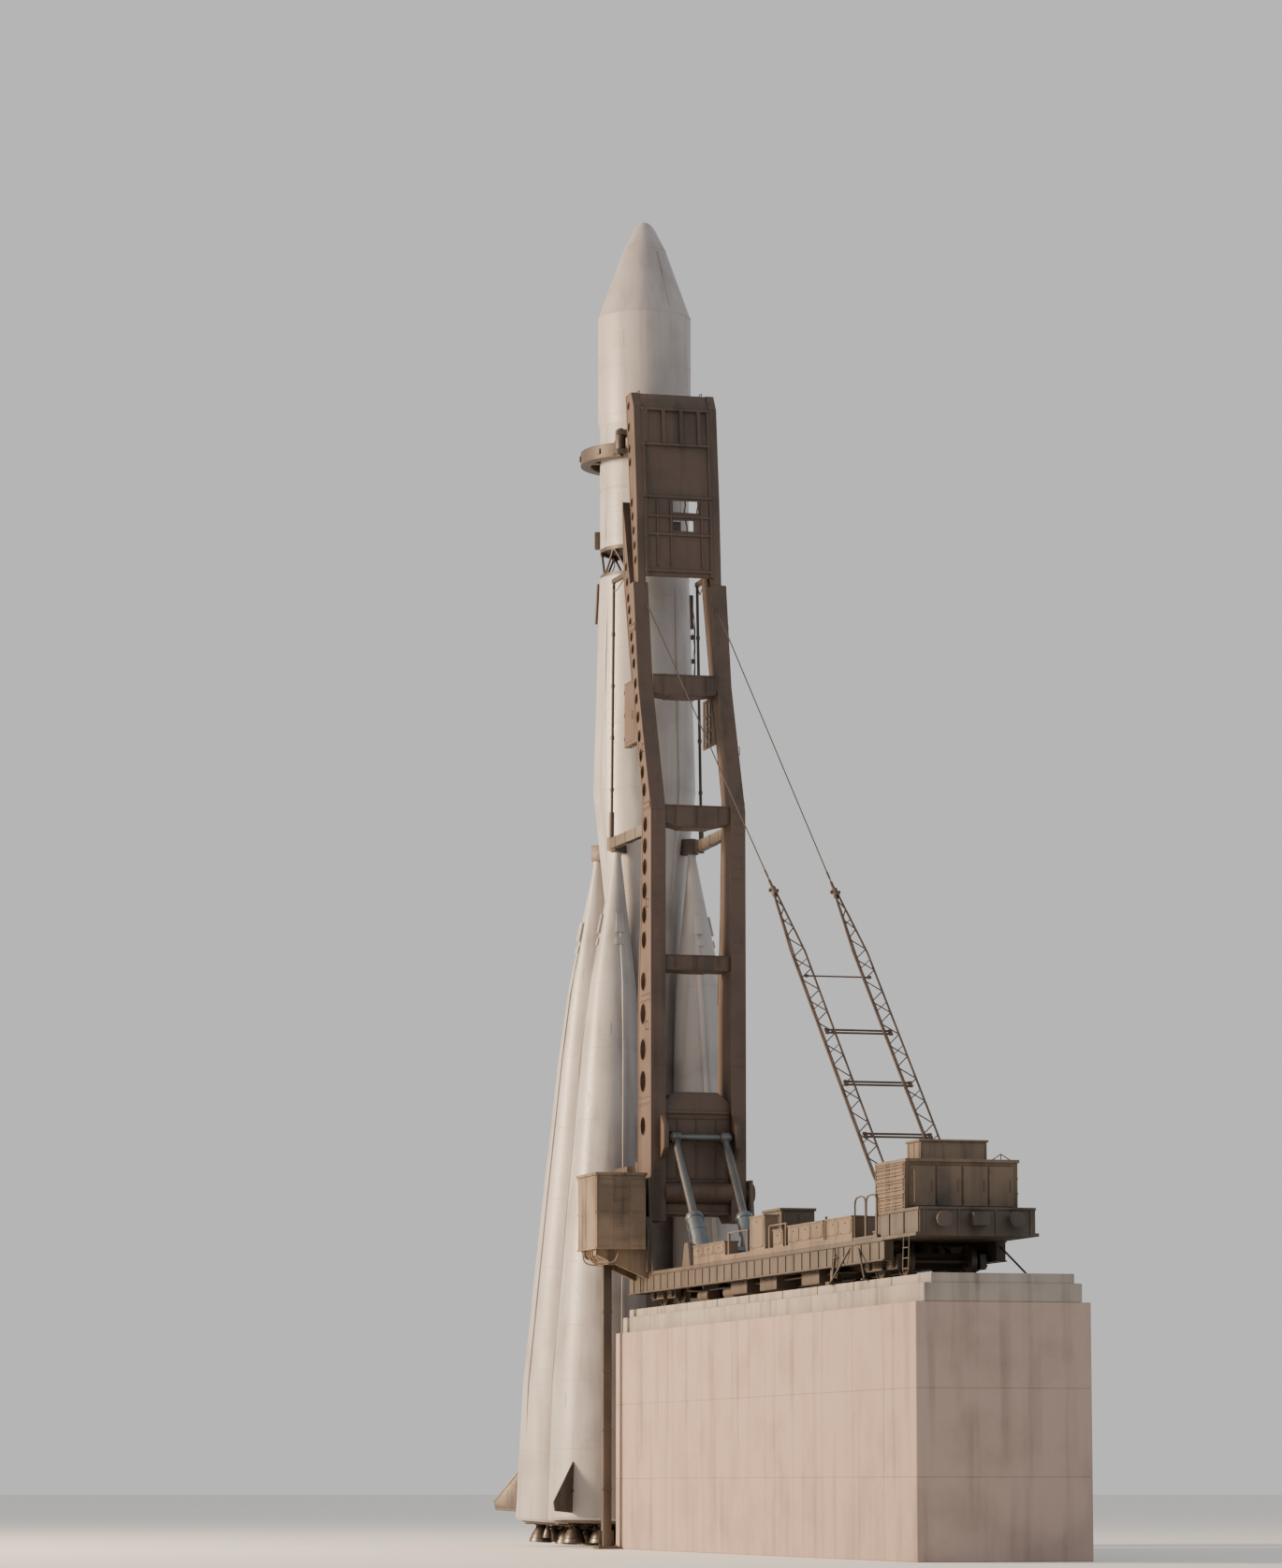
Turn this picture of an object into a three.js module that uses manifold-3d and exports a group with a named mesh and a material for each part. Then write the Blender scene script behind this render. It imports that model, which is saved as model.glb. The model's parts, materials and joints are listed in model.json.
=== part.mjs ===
// Space rocket on its rail-borne erector, with the concrete plinth that carries the railcar.
// Millimetres, +Z up. The drawing frame has the rocket's axis at X = 0, Y = 0 and the floor at Z = 0.
// +X runs from the rocket along the railcar, and +Y is the railcar's right side seen from its rear.

import * as THREE from "three";
import { mergeVertices } from "three/addons/utils/BufferGeometryUtils.js";
import Module from "manifold-3d";

const wasm = await Module();
wasm.setup();
const { Manifold, Mesh: Facets } = wasm;

// Driving dimensions
const SEAT = 0.3;
const RUNNING = 0.3;
const MIDDLE_X = 13967;

const TIP_Z = 38360;
const STAGE_R = 1290;
const CORE_TOP_Z = 27750;
const CORE_FOOT_Z = 700;
const BOOSTER_FOOT_R = 2750;
const BOOSTER_LEAN = 0.0606;
const BOOSTER_FOOT_Z = 700;
const NOZZLE_Z = 10;

const GIRDER_OUT = 1350;
const GIRDER_IN = 950;
const HEAD_OUT = 1210;
const PIVOT = { x: 5600, z: 9700, r: 140 };

const RAM_Y = 700;
const RAM_FOOT = { x: 8600, z: 8000 };
const RAM_EYE = { x: 5900, z: 11200 };

const STRUT_Y = 830;
const STRUT_FOOT = { x: 26000, z: 8000 };
const STRUT_TIP = { x: 15870, z: 17000 };
const STAY_EYE = { x: 3860, y: 1010, z: 26480 };

const RAIL_Z = 6500;
const DECK_Z = 7500;
const AXLE_Z = 6945;
const WHEEL_R = 410;
const FLANGE_R = 440;
const AXLE_R = 75;
const JACK = { x: 22550, y: 1300, r: 70 };

// Colours by material slot
const SLOTS = {
  rocket_paint: 0xc9c7c4,
  fairing_paint: 0xd2d0cd,
  engine_metal: 0x4a4745,
  erector_paint: 0x6b4a3a,
  clamp_paint: 0x5b5550,
  ram_steel: 0x6f8293,
  railcar_paint: 0x4f4a45,
  cabinet_paint: 0x8a6a4a,
  wheel_steel: 0x55504c,
  cable_steel: 0x7a7672,
  concrete: 0x9b958c,
  wall_concrete: 0xb3978a,
};

const root = new THREE.Group();
root.name = "space_rocket";
root.position.x = -MIDDLE_X;

// A closed solid from a three.js geometry, turned to face out.
function solid(geometry) {
  const plain = geometry.index ? geometry.toNonIndexed() : geometry;
  const bare = new THREE.BufferGeometry();
  bare.setAttribute("position", plain.getAttribute("position"));
  const merged = mergeVertices(bare, 0.01);
  const at = merged.getAttribute("position");
  const faces = [];
  let volume = 0;
  const corner = (i) => new THREE.Vector3().fromBufferAttribute(at, i);
  for (let i = 0; i < merged.index.count; i += 3) {
    const [a, b, c] = [0, 1, 2].map((k) => merged.index.getX(i + k));
    if (a === b || b === c || a === c) continue;
    faces.push([a, b, c]);
    volume += corner(a).dot(corner(b).cross(corner(c)));
  }
  const order = volume < 0 ? [0, 2, 1] : [0, 1, 2];
  const triVerts = new Uint32Array(faces.flatMap((face) => order.map((k) => face[k])));
  const vertProperties = new Float32Array(at.array);
  return new Manifold(new Facets({ numProp: 3, vertProperties, triVerts }));
}

const join = (...parts) => Manifold.union(parts.flat());
const cut = (body, ...tools) => body.subtract(Manifold.union(tools.flat()));

// A box between two corners.
function box(x0, x1, y0, y1, z0, z1) {
  const shape = new THREE.BoxGeometry(x1 - x0, y1 - y0, z1 - z0);
  return solid(shape.translate((x0 + x1) / 2, (y0 + y1) / 2, (z0 + z1) / 2));
}

// The same box on both sides of the centre plane, as a pair of solids.
function pair(x0, x1, y0, y1, z0, z1) {
  return [box(x0, x1, y0, y1, z0, z1), box(x0, x1, -y1, -y0, z0, z1)];
}

// A turned body about the Z axis; rows are [radius, z] and start and end on the axis.
function turned(rows, sides) {
  const points = rows.map(([r, z]) => new THREE.Vector2(r, z));
  return solid(new THREE.LatheGeometry(points, sides).rotateX(Math.PI / 2));
}

// A round bar between two points.
function bar(a, b, r, sides = 12, r2 = r) {
  const from = new THREE.Vector3(...a);
  const to = new THREE.Vector3(...b);
  const along = to.clone().sub(from);
  const shape = new THREE.CylinderGeometry(r2, r, along.length(), sides);
  const turn = new THREE.Quaternion();
  turn.setFromUnitVectors(new THREE.Vector3(0, 1, 0), along.clone().normalize());
  shape.applyQuaternion(turn);
  const mid = from.add(to).multiplyScalar(0.5);
  return solid(shape.translate(mid.x, mid.y, mid.z));
}

// A rectangular beam between two points, with its width held level along Y.
function beam(a, b, wide, deep) {
  const from = new THREE.Vector3(...a);
  const to = new THREE.Vector3(...b);
  const along = to.clone().sub(from);
  const length = along.length();
  along.normalize();
  const level = Math.abs(along.y) > 0.9 ? new THREE.Vector3(1, 0, 0) : new THREE.Vector3(0, 1, 0);
  const deepWay = new THREE.Vector3().crossVectors(along, level).normalize();
  const wideWay = new THREE.Vector3().crossVectors(deepWay, along).normalize();
  const shape = new THREE.BoxGeometry(length, wide, deep);
  shape.applyMatrix4(new THREE.Matrix4().makeBasis(along, wideWay, deepWay));
  const mid = from.add(to).multiplyScalar(0.5);
  return solid(shape.translate(mid.x, mid.y, mid.z));
}

// A flat outline pulled along one axis: rows are [x, z] for Y, [y, z] for X and [x, y] for Z.
function slab(rows, axis, low, high) {
  const outline = new THREE.Shape(rows.map(([u, v]) => new THREE.Vector2(u, v)));
  const shape = new THREE.ExtrudeGeometry(outline, { depth: high - low, bevelEnabled: false });
  const X = new THREE.Vector3(1, 0, 0);
  const Y = new THREE.Vector3(0, 1, 0);
  const Z = new THREE.Vector3(0, 0, 1);
  if (axis === "x") shape.applyMatrix4(new THREE.Matrix4().makeBasis(Y, Z, X)).translate(low, 0, 0);
  if (axis === "y") {
    const turn = new THREE.Matrix4().makeBasis(X, Z, Y.clone().negate());
    shape.applyMatrix4(turn).translate(0, high, 0);
  }
  if (axis === "z") shape.translate(0, 0, low);
  return solid(shape);
}

// The radius of a bore whose flats clear a pin of radius r.
const bore = (r, sides) => (r + RUNNING) / Math.cos(Math.PI / sides);

// A solid moved, turned or mirrored by a matrix.
function moved(body, matrix) {
  const mesh = body.getMesh();
  const at = new THREE.BufferAttribute(new Float32Array(mesh.vertProperties), 3);
  at.applyMatrix4(matrix);
  const triVerts = new Uint32Array(mesh.triVerts);
  if (matrix.determinant() < 0) {
    for (let i = 0; i < triVerts.length; i += 3) {
      [triVerts[i + 1], triVerts[i + 2]] = [triVerts[i + 2], triVerts[i + 1]];
    }
  }
  return new Manifold(new Facets({ numProp: 3, vertProperties: at.array, triVerts }));
}

const mirrorY = (body) => moved(body, new THREE.Matrix4().makeScale(1, -1, 1));
const turnZ = (body, degrees) =>
  moved(body, new THREE.Matrix4().makeRotationZ(THREE.MathUtils.degToRad(degrees)));

function node(name, body, slot) {
  const mesh = body.getMesh();
  const shape = new THREE.BufferGeometry();
  const stride = mesh.numProp;
  const at = new Float32Array(mesh.numVert * 3);
  for (let i = 0; i < mesh.numVert; i += 1) {
    at.set(mesh.vertProperties.subarray(i * stride, i * stride + 3), i * 3);
  }
  shape.setAttribute("position", new THREE.BufferAttribute(at, 3));
  shape.setIndex(new THREE.BufferAttribute(new Uint32Array(mesh.triVerts), 1));
  const paint = new THREE.MeshStandardMaterial({ color: SLOTS[slot], name: slot });
  const made = new THREE.Mesh(shape, paint);
  made.name = name;
  root.add(made);
}

// Rocket: payload fairing and third stage
const fairing = turned(
  [[0, 32200], [1300, 32200], [1350, 32450], [1350, 35450], [620, 37500],
    [330, 38080], [180, 38290], [0, TIP_Z]],
  28,
);
node("fairing", fairing, "fairing_paint");

const STAGE_ROWS = [
  [0, 28950], [900, 28950], [1230, 28600], [STAGE_R, 28600], [STAGE_R, 30270], [1265, 30285],
  [1265, 30330], [STAGE_R, 30345], [STAGE_R, 32200 - SEAT], [0, 32200 - SEAT],
];
const stageParts = [turned(STAGE_ROWS, 28)];
for (const angle of [75, 165, 255, 345]) {
  stageParts.push(turnZ(box(1200, 1450, -130, 130, 28650, 29150), angle));
  stageParts.push(turnZ(bar([450, 0, 29000], [470, 0, 28150], 130, 8, 260), angle + 45));
}
node("third_stage", join(stageParts), "rocket_paint");

// Open strut truss between the core and the third stage
const trussParts = [];
for (const [low, high] of [[27750, 27840], [28510, 28600 - SEAT]]) {
  const disc = turned([[0, low], [1285, low], [1285, high], [0, high]], 24);
  const eye = turned([[0, low - 50], [1195, low - 50], [1195, high + 50], [0, high + 50]], 24);
  trussParts.push(cut(disc, eye));
}
for (let i = 0; i < 8; i += 1) {
  const foot = THREE.MathUtils.degToRad(45 * i + 7.5);
  for (const side of [-22.5, 22.5]) {
    const top = foot + THREE.MathUtils.degToRad(side);
    const from = [1240 * Math.cos(foot), 1240 * Math.sin(foot), 27790];
    const to = [1235 * Math.cos(top), 1235 * Math.sin(top), 28560];
    trussParts.push(bar(from, to, 38, 4));
  }
}
node("strut_truss", join(trussParts), "engine_metal");

// Boosters: rows of [radius, distance up the booster's own leaned axis]
const BOOSTER_ROWS = [
  [1300, BOOSTER_FOOT_Z], [1340, BOOSTER_FOOT_Z + 60], [1340, 4550], [1064, 9850],
  [820, 13950], [660, 15800], [300, 18250], [110, 19600], [110, 19800],
];
function boosterShell(grow) {
  const rows = BOOSTER_ROWS.map(([r, z]) => [r + grow, z]);
  rows[0][1] -= grow;
  rows[rows.length - 1][1] += grow;
  return turned([[0, rows[0][1]], ...rows, [0, rows[rows.length - 1][1]]], 20);
}

// From the booster's own frame to its place round the core
function boosterPlace(quarter) {
  const place = new THREE.Matrix4().makeRotationZ(THREE.MathUtils.degToRad(45 + 90 * quarter));
  place.multiply(new THREE.Matrix4().makeTranslation(BOOSTER_FOOT_R, 0, 0));
  return place.multiply(new THREE.Matrix4().makeRotationY(-Math.atan(BOOSTER_LEAN)));
}

function nozzle(x, y, top, foot, rTop, rFoot) {
  const bell = bar([x, y, top], [x, y, foot], rTop, 9, rFoot);
  const mouth = bar([x, y, foot + 260], [x, y, foot - 40], rTop * 0.8, 9, rFoot - 25);
  return cut(bell, mouth);
}

function engineBlock(plateR, spread, foot) {
  const top = BOOSTER_FOOT_Z - SEAT;
  const parts = [turned([[0, 620], [plateR - 60, 620], [plateR, top], [0, top]], 16)];
  for (const [i, j] of [[1, 1], [1, -1], [-1, 1], [-1, -1]]) {
    parts.push(nozzle(i * spread, j * spread, 640, foot, 170, 330));
  }
  return parts;
}

const grown = [];
for (let k = 0; k < 4; k += 1) {
  const place = boosterPlace(k);
  const name = k + 1;
  const bearing = bar([1234, 0, 1500], [1400, 0, 1500], bore(45, 20), 20);
  const boss = bar([1200, 0, 1500], [1344, 0, 1500], 110, 12);
  const shell = cut(join(boosterShell(0), boss), bearing);
  node("booster_" + name, moved(shell, place), "rocket_paint");
  grown.push(moved(boosterShell(SEAT), place));

  const engine = engineBlock(1180, 430, 90);
  engine.push(bar([0, 800, 640], [0, 800, 240], 80, 6, 130));
  engine.push(bar([0, -800, 640], [0, -800, 240], 80, 6, 130));
  node("booster_engine_" + name, moved(join(engine), place), "engine_metal");

  const blade = slab([[1350, 880], [2250, 880], [2340, 1120], [1350, 2300]], "y", -25, 25);
  const shaft = bar([1240, 0, 1500], [1420, 0, 1500], 45, 20);
  node("air_rudder_" + name, moved(join(blade, shaft), place), "engine_metal");
}

// Core stage: rows of [radius, z]
const CORE_ROWS = [
  [0, CORE_FOOT_Z], [1000, CORE_FOOT_Z], [1030, 760], [1030, 15000], [1060, 16500],
  [1125, 18200], [1475, 21500], [1360, 25600], [1300, CORE_TOP_Z - SEAT], [0, CORE_TOP_Z - SEAT],
];
const coreParts = [turned(CORE_ROWS, 28)];
const DUCT_ROWS = [[1110, 18300], [1460, 21500], [1350, 25600], [1300, 27500]];
for (const angle of [30, 210]) {
  for (let i = 1; i < DUCT_ROWS.length; i += 1) {
    const [[r0, z0], [r1, z1]] = [DUCT_ROWS[i - 1], DUCT_ROWS[i]];
    coreParts.push(turnZ(beam([r0, 0, z0], [r1, 0, z1], 170, 150), angle));
  }
}
for (let k = 0; k < 4; k += 1) {
  coreParts.push(turnZ(box(1150, 1700, -150, 150, 19620, 20080), 45 + 90 * k));
  coreParts.push(turnZ(box(950, 1420, -70, 70, 1450, 1700), 45 + 90 * k));
}
coreParts.push(turnZ(box(1250, 1420, -90, 90, 26300, 27300), 75));
coreParts.push(turnZ(bar([1400, 0, 26450], [1340, 0, CORE_TOP_Z - 120], 45, 8), 255));
node("core_stage", cut(join(coreParts), grown), "rocket_paint");

const coreEngine = engineBlock(940, 380, NOZZLE_Z);
for (const angle of [0, 90, 180, 270]) {
  coreEngine.push(turnZ(bar([760, 0, 640], [760, 0, 200], 80, 6, 130), angle));
}
node("core_engine", join(coreEngine), "engine_metal");

// Boom girders: rows of [x, z]
const GIRDER_ROWS = [
  [2640, 29500], [2860, 27000], [3700, 24100], [4460, 21900], [4840, 20700], [4660, 17400],
  [4380, 15000], [4380, 9100], [4700, 8900], [5750, 8900], [5750, 20300], [5080, 22100],
  [4380, 24000], [3850, 27000], [3440, 27000],
];
// Round holes of the outer webs: rows of [x, z, diameter]
const HOLE_ROWS = [
  [3040, 27550, 230], [3160, 27100, 240], [3280, 26620, 250], [3400, 26260, 260],
  [3510, 25880, 270], [3640, 25460, 280], [3770, 25080, 280], [3900, 24650, 290],
  [4080, 24060, 300], [4190, 23600, 300], [4350, 23060, 320], [4500, 22500, 340],
  [4660, 21940, 360], [4830, 21440, 370], [5020, 20920, 380], [5140, 19940, 420],
  [5100, 19340, 440], [5080, 18750, 450], [5060, 18090, 460], [5030, 17420, 470],
  [5000, 16720, 470], [4930, 15570, 500], [4900, 14670, 560], [4890, 13680, 580],
  [4890, 12800, 580], [4890, 11560, 500],
];
const webHoles = HOLE_ROWS.map(([x, z, wide]) => bar([x, 1120, z], [x, 1450, z], wide / 2, 8));
const cheek = slab([[5600, 10500], [6150, 10900], [6150, 11500], [5600, 12000]], "y", 950, 1100);
const pinHole = bar([PIVOT.x, 1000, PIVOT.z], [PIVOT.x, 1450, PIVOT.z], bore(PIVOT.r, 36), 36);
const girderBody = join(slab(GIRDER_ROWS, "y", GIRDER_IN, GIRDER_OUT), cheek);
const girderRight = cut(girderBody, webHoles, pinHole);
node("girder_right", girderRight, "erector_paint");
node("girder_left", mirrorY(girderRight), "erector_paint");
const girderGrown = moved(girderBody, new THREE.Matrix4().makeTranslation(-0.4, 0, 0));

// Boom head: two side plates, the back panel with its slot, and the mounting block of the clamp
const HEAD_ROWS = [
  [2470, 32600], [2950, 29500], [3450, 27000 + SEAT], [3850, 27000 + SEAT], [3660, 29500],
  [3350, 32150], [3060, 32600],
];
const headPlate = slab(HEAD_ROWS, "y", 1000, HEAD_OUT);
const HEAD_HOLES = [
  [2770, 32270, 230], [2810, 31650, 240], [2880, 31000, 240], [2940, 30600, 240],
  [3130, 29400, 240], [3230, 28980, 240], [3340, 28560, 240], [3440, 28120, 230],
  [3550, 27680, 220],
];
const headBores = HEAD_HOLES.map(([x, z, wide]) => bar([x, 1100, z], [x, 1300, z], wide / 2, 8));
const headSide = cut(headPlate, headBores);
const HEAD_BACK_ROWS = [
  [3000, 32600], [3290, 32150], [3600, 29500], [3780, 27200], [3835, 27200], [3655, 29500],
  [3345, 32150], [3055, 32600],
];
const headParts = [
  headSide,
  mirrorY(headSide),
  slab(HEAD_BACK_ROWS, "y", -1010, 1010),
  box(2510, 3050, -1010, 1010, 32500, 32590),
  slab([[2900, 30800], [3465, 30800], [3360, 31700], [2900, 31700]], "y", -1010, 1010),
  box(3250, 3600, -1010, 1010, 29520, 29660),
  box(3480, 3760, -1010, 1010, 27240, 27420),
];
const headSlots = [
  box(3400, 4500, -150, 600, 29080, 29420),
  box(3400, 4500, -150, 450, 28540, 28850),
];
node("boom_head", cut(join(headParts), headSlots), "erector_paint");

// Cross beams of the ladder: rows of [name, x0, x1, z0, z1, z0 at the ends]
const BEAM_ROWS = [
  ["cross_beam_upper", 3660, 4400, 23700, 24300, 23760],
  ["cross_beam_middle", 4900, 5650, 19830, 20440, 19950],
  ["cross_beam_lower", 4700, 5650, 15840, 16260, 15840],
];
const GAP_Y = GIRDER_IN - SEAT;
for (const [name, x0, x1, low, high, end] of BEAM_ROWS) {
  const rows = [[-GAP_Y, high], [-GAP_Y, end], [-450, low], [450, low], [GAP_Y, end], [GAP_Y, high]];
  node(name, slab(rows, "x", x0, x1), "erector_paint");
}

// Closed foot of the boom, with the tube on the pivot line
const footBack = [
  [-GAP_Y, 12200], [-GAP_Y, 9100], [GAP_Y, 9100], [GAP_Y, 12200], [600, 12480], [-600, 12480],
];
const footParts = [
  slab(footBack, "x", 5430, 5530),
  slab(footBack, "x", 4400, 4480),
  box(4400, 5600, -GAP_Y, GAP_Y, 9100, 9180),
  box(4400, 5600, -GAP_Y, GAP_Y, 11880, 11960),
  bar([PIVOT.x - 60, -GAP_Y, PIVOT.z], [PIVOT.x - 60, GAP_Y, PIVOT.z], 300, 20),
];
node("boom_foot", join(footParts), "erector_paint");

// Box and open panel at the girders' front edges
const boxRows = [[2850, 22400], [4286.9, 22400], [3699.6, 24100], [3670.6, 24200], [2850, 24200]];
node("side_box", slab(boxRows, "y", -GIRDER_OUT, -1150), "erector_paint");
const panelRows = [[2850, 22400], [4286.9, 22400], [3803.2, 23800], [2850, 23800]];
const panel = slab(panelRows, "y", GIRDER_IN, 1000);
const panelHoles = [];
for (const [x0, x1] of [[2930, 3220], [3280, 3570], [3630, 3760]]) {
  for (const z0 of [22480, 22920, 23360]) panelHoles.push(box(x0, x1, 900, 1050, z0, z0 + 360));
}
node("open_panel", cut(panel, panelHoles), "erector_paint");

// Upper clamp: a seat on the boom head and two arms that close round the third stage
const CLAMP = { z0: 31080, z1: 31480, hingeX: 2400, hingeY: 1350, pin: 60 };
const stageGrown = turned(
  [[0, 30000], [STAGE_R + SEAT, 30000], [STAGE_R + SEAT, 32000], [0, 32000]], 28,
);
const seatRows = [
  [1050, -700], [2000, -980], [2900 - SEAT, -980], [2900 - SEAT, 980], [2000, 980], [1050, 700],
];
const forkRows = [
  [1900, 800], [2590, 800], [2590, 1300], [2500, 1480], [2300, 1480], [2250, 1300],
];
const seatParts = [slab(seatRows, "z", CLAMP.z0, CLAMP.z1)];
seatParts.push(box(2050, 2890, -850, 850, CLAMP.z0 - 100, CLAMP.z1 + 100));
for (const [low, high] of [[CLAMP.z0 - 150, CLAMP.z0 - 5], [CLAMP.z1 + 5, CLAMP.z1 + 150]]) {
  const fork = slab(forkRows, "z", low, high);
  seatParts.push(fork, mirrorY(fork), box(2000, 2890, -900, 900, low, high));
}
for (const side of [-1, 1]) {
  const y = side * CLAMP.hingeY;
  const ends = [[CLAMP.hingeX, y, CLAMP.z0 - 170], [CLAMP.hingeX, y, CLAMP.z1 + 170]];
  seatParts.push(bar(ends[0], ends[1], CLAMP.pin, 24));
}
node("clamp_seat", cut(join(seatParts), stageGrown), "clamp_paint");

const armRows = [];
for (let i = 0; i <= 12; i += 1) {
  const turn = THREE.MathUtils.degToRad(38 + (141.8 / 12) * i);
  armRows.push([1860 * Math.cos(turn), 1860 * Math.sin(turn)]);
}
armRows[armRows.length - 1] = [-1860, 5];
armRows.push([-1560, 5]);
for (let i = 12; i >= 0; i -= 1) {
  const turn = THREE.MathUtils.degToRad(38 + (141.8 / 12) * i);
  if (i < 12) armRows.push([1560 * Math.cos(turn), 1560 * Math.sin(turn)]);
}
const armParts = [slab(armRows, "z", CLAMP.z0, CLAMP.z1)];
const armHinge = [CLAMP.hingeX, CLAMP.hingeY];
armParts.push(bar([...armHinge, CLAMP.z0], [...armHinge, CLAMP.z1], 150, 16));
armParts.push(slab([[1230, 1010], [1500, 1000], [2400, 1220], [2400, 1490], [1350, 1290]], "z",
  CLAMP.z0 + 40, CLAMP.z1 - 40));
for (const angle of [60, 100, 140]) {
  armParts.push(turnZ(box(1250, 1600, -130, 130, CLAMP.z0 + 60, CLAMP.z1 - 60), angle));
}
const armBore = bar([...armHinge, CLAMP.z0 - 50], [...armHinge, CLAMP.z1 + 50], bore(60, 24), 24);
const armRight = cut(join(armParts), armBore, stageGrown);
node("clamp_arm_right", armRight, "clamp_paint");
node("clamp_arm_left", mirrorY(armRight), "clamp_paint");

// Waist supports: pads at the booster tips, with their rods and arms
const waistParts = [
  turnZ(box(1700 + SEAT, 1900, -140, 140, 19660, 20040), 45),
  beam([1290, 1290, 19850], [4950, 1180, 19850], 200, 300),
  bar([1330, 1330, 19900], [1240, 1240, 27450], 45, 8),
  bar([1330, 1330, 20000], [1318, 1318, 20750], 75, 8),
  beam([1200, 1240, 27450], [3000, 1180, 27450], 120, 120),
];
const waistPad = turnZ(box(600, 1700 + SEAT, -400, 400, 19500, 20200), 45);
const waistRight = cut(join(waistParts), girderGrown, waistPad);
node("waist_support_right", waistRight, "erector_paint");
node("waist_support_left", mirrorY(waistRight), "erector_paint");

// Tail support: a bar across the girders with two saddles for the boosters
const tailParts = [
  box(4000, 4380 - SEAT, -GIRDER_OUT, GIRDER_OUT, 10000, 10600),
  ...pair(2380, 4050, 1000, 1590, 10100, 10500),
];
node("tail_support", cut(join(tailParts), grown), "clamp_paint");

// Concrete plinth under the rails: a wall and its narrower cap
node("plinth_wall", box(4800, 31500, -2100, 2100, 0, 5850 - SEAT), "wall_concrete");
node("plinth_cap", box(4800, 31500, -1900, 1900, 5850, RAIL_Z), "concrete");

// Railcar chassis: deck, sills, pedestals of the boom, bearings, buffers and rear platform
const chassisParts = [
  box(4000, 29700, -1500, 1500, 7420, DECK_Z),
  ...pair(4000, 27300, 1270, 1500, 6950, 7440),
  box(11000, 23300, -380, 380, 6900, 7440),
  box(4000, 4120, -1500, 1500, 6950, 7440),
  box(26300, 29700, -1400, 1400, 7490, 8080),
  box(29600, 30050, -200, 200, 7650, 7950),
];
for (let x = 12500; x < 23000; x += 2500) {
  chassisParts.push(box(x, x + 200, -1300, 1300, 7000, 7440));
}
const pedestalRows = [
  [4750, 7490], [6500, 7490], [6150, 8600], [5950, 10050], [5250, 10050], [5050, 8600],
];
const pedestal = join(
  slab(pedestalRows, "y", 1420, 1500),
  bar([PIVOT.x, 1010, PIVOT.z], [PIVOT.x, 1560, PIVOT.z], PIVOT.r, 36),
  bar([PIVOT.x, 1420, PIVOT.z], [PIVOT.x, 1600, PIVOT.z], 260, 16),
  slab([[4900, 7490], [5100, 7490], [5250, 9000], [5100, 9000]], "y", 1420, 1600),
  slab([[6100, 7490], [6300, 7490], [6120, 9000], [5950, 9000]], "y", 1420, 1600),
);
chassisParts.push(pedestal, mirrorY(pedestal));
const ramBearing = cut(
  slab([[8200, 7490], [9000, 7490], [8780, 8180], [8420, 8180]], "y", 1020, 1150),
  bar([RAM_FOOT.x, 900, RAM_FOOT.z], [RAM_FOOT.x, 1300, RAM_FOOT.z], bore(100, 30), 30),
);
chassisParts.push(ramBearing, mirrorY(ramBearing));
const strutBearing = cut(
  slab([[25750, 7490], [26250, 7490], [26140, 8120], [25860, 8120]], "y", 1010, 1080),
  bar([STRUT_FOOT.x, 900, STRUT_FOOT.z], [STRUT_FOOT.x, 1200, STRUT_FOOT.z], bore(50, 20), 20),
);
const strutBearingIn = moved(strutBearing, new THREE.Matrix4().makeTranslation(0, -430, 0));
for (const part of [strutBearing, strutBearingIn]) chassisParts.push(part, mirrorY(part));
for (const y of [-880, 880]) {
  for (const [x0, x1, x2, z] of [[29650, 29930, 29990, 7800], [4020, 3750, 3690, 7330]]) {
    chassisParts.push(bar([x0, y, z], [x1, y, z], 90, 8));
    chassisParts.push(bar([(x0 + 9 * x1) / 10, y, z], [x2, y, z], 190, 12));
  }
}
for (const y of [-JACK.y, JACK.y]) {
  chassisParts.push(bar([JACK.x, y, 6950], [JACK.x, y, 7450], 140, 16));
}
const ramSlots = pair(8000, 10400, 400, 1000, 6800, 7600);
const jackHoles = [];
for (const y of [-JACK.y, JACK.y]) {
  jackHoles.push(bar([JACK.x, y, 6800], [JACK.x, y, 7600], JACK.r + 0.35, 16));
}
node("chassis", cut(join(chassisParts), ramSlots, jackHoles), "railcar_paint");

// Boxes along both deck edges: rows of [x0, x1, top]
const BOX_ROWS = [[16000, 17300, 8500], [18100, 18900, 8070], [19400, 22400, 8110], [22700, 24750, 8110]];
const edgeParts = [box(10600, 24750, 1400, 1500, DECK_Z + SEAT, 7640)];
for (const [x0, x1, top] of BOX_ROWS) edgeParts.push(box(x0, x1, 1130, 1500, DECK_Z + SEAT, top));
edgeParts.push(box(10600, 13600, 1130, 1500, DECK_Z + SEAT, 8000));
const edgeRight = join(edgeParts);
node("edge_boxes_right", edgeRight, "railcar_paint");
node("edge_boxes_left", mirrorY(edgeRight), "railcar_paint");
node("deck_box", box(13300, 14900, -350, 560, DECK_Z + SEAT, 8800), "railcar_paint");

// Jacks: a screw with a foot on the plinth, in a sleeve fixed under the deck
const jack = join(
  bar([JACK.x, JACK.y, 6600], [JACK.x, JACK.y, 7880], JACK.r, 16),
  box(JACK.x - 160, JACK.x + 160, JACK.y - 150, JACK.y + 150, RAIL_Z + SEAT, 6620),
);
node("jack_right", jack, "wheel_steel");
node("jack_left", mirrorY(jack), "wheel_steel");

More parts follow.
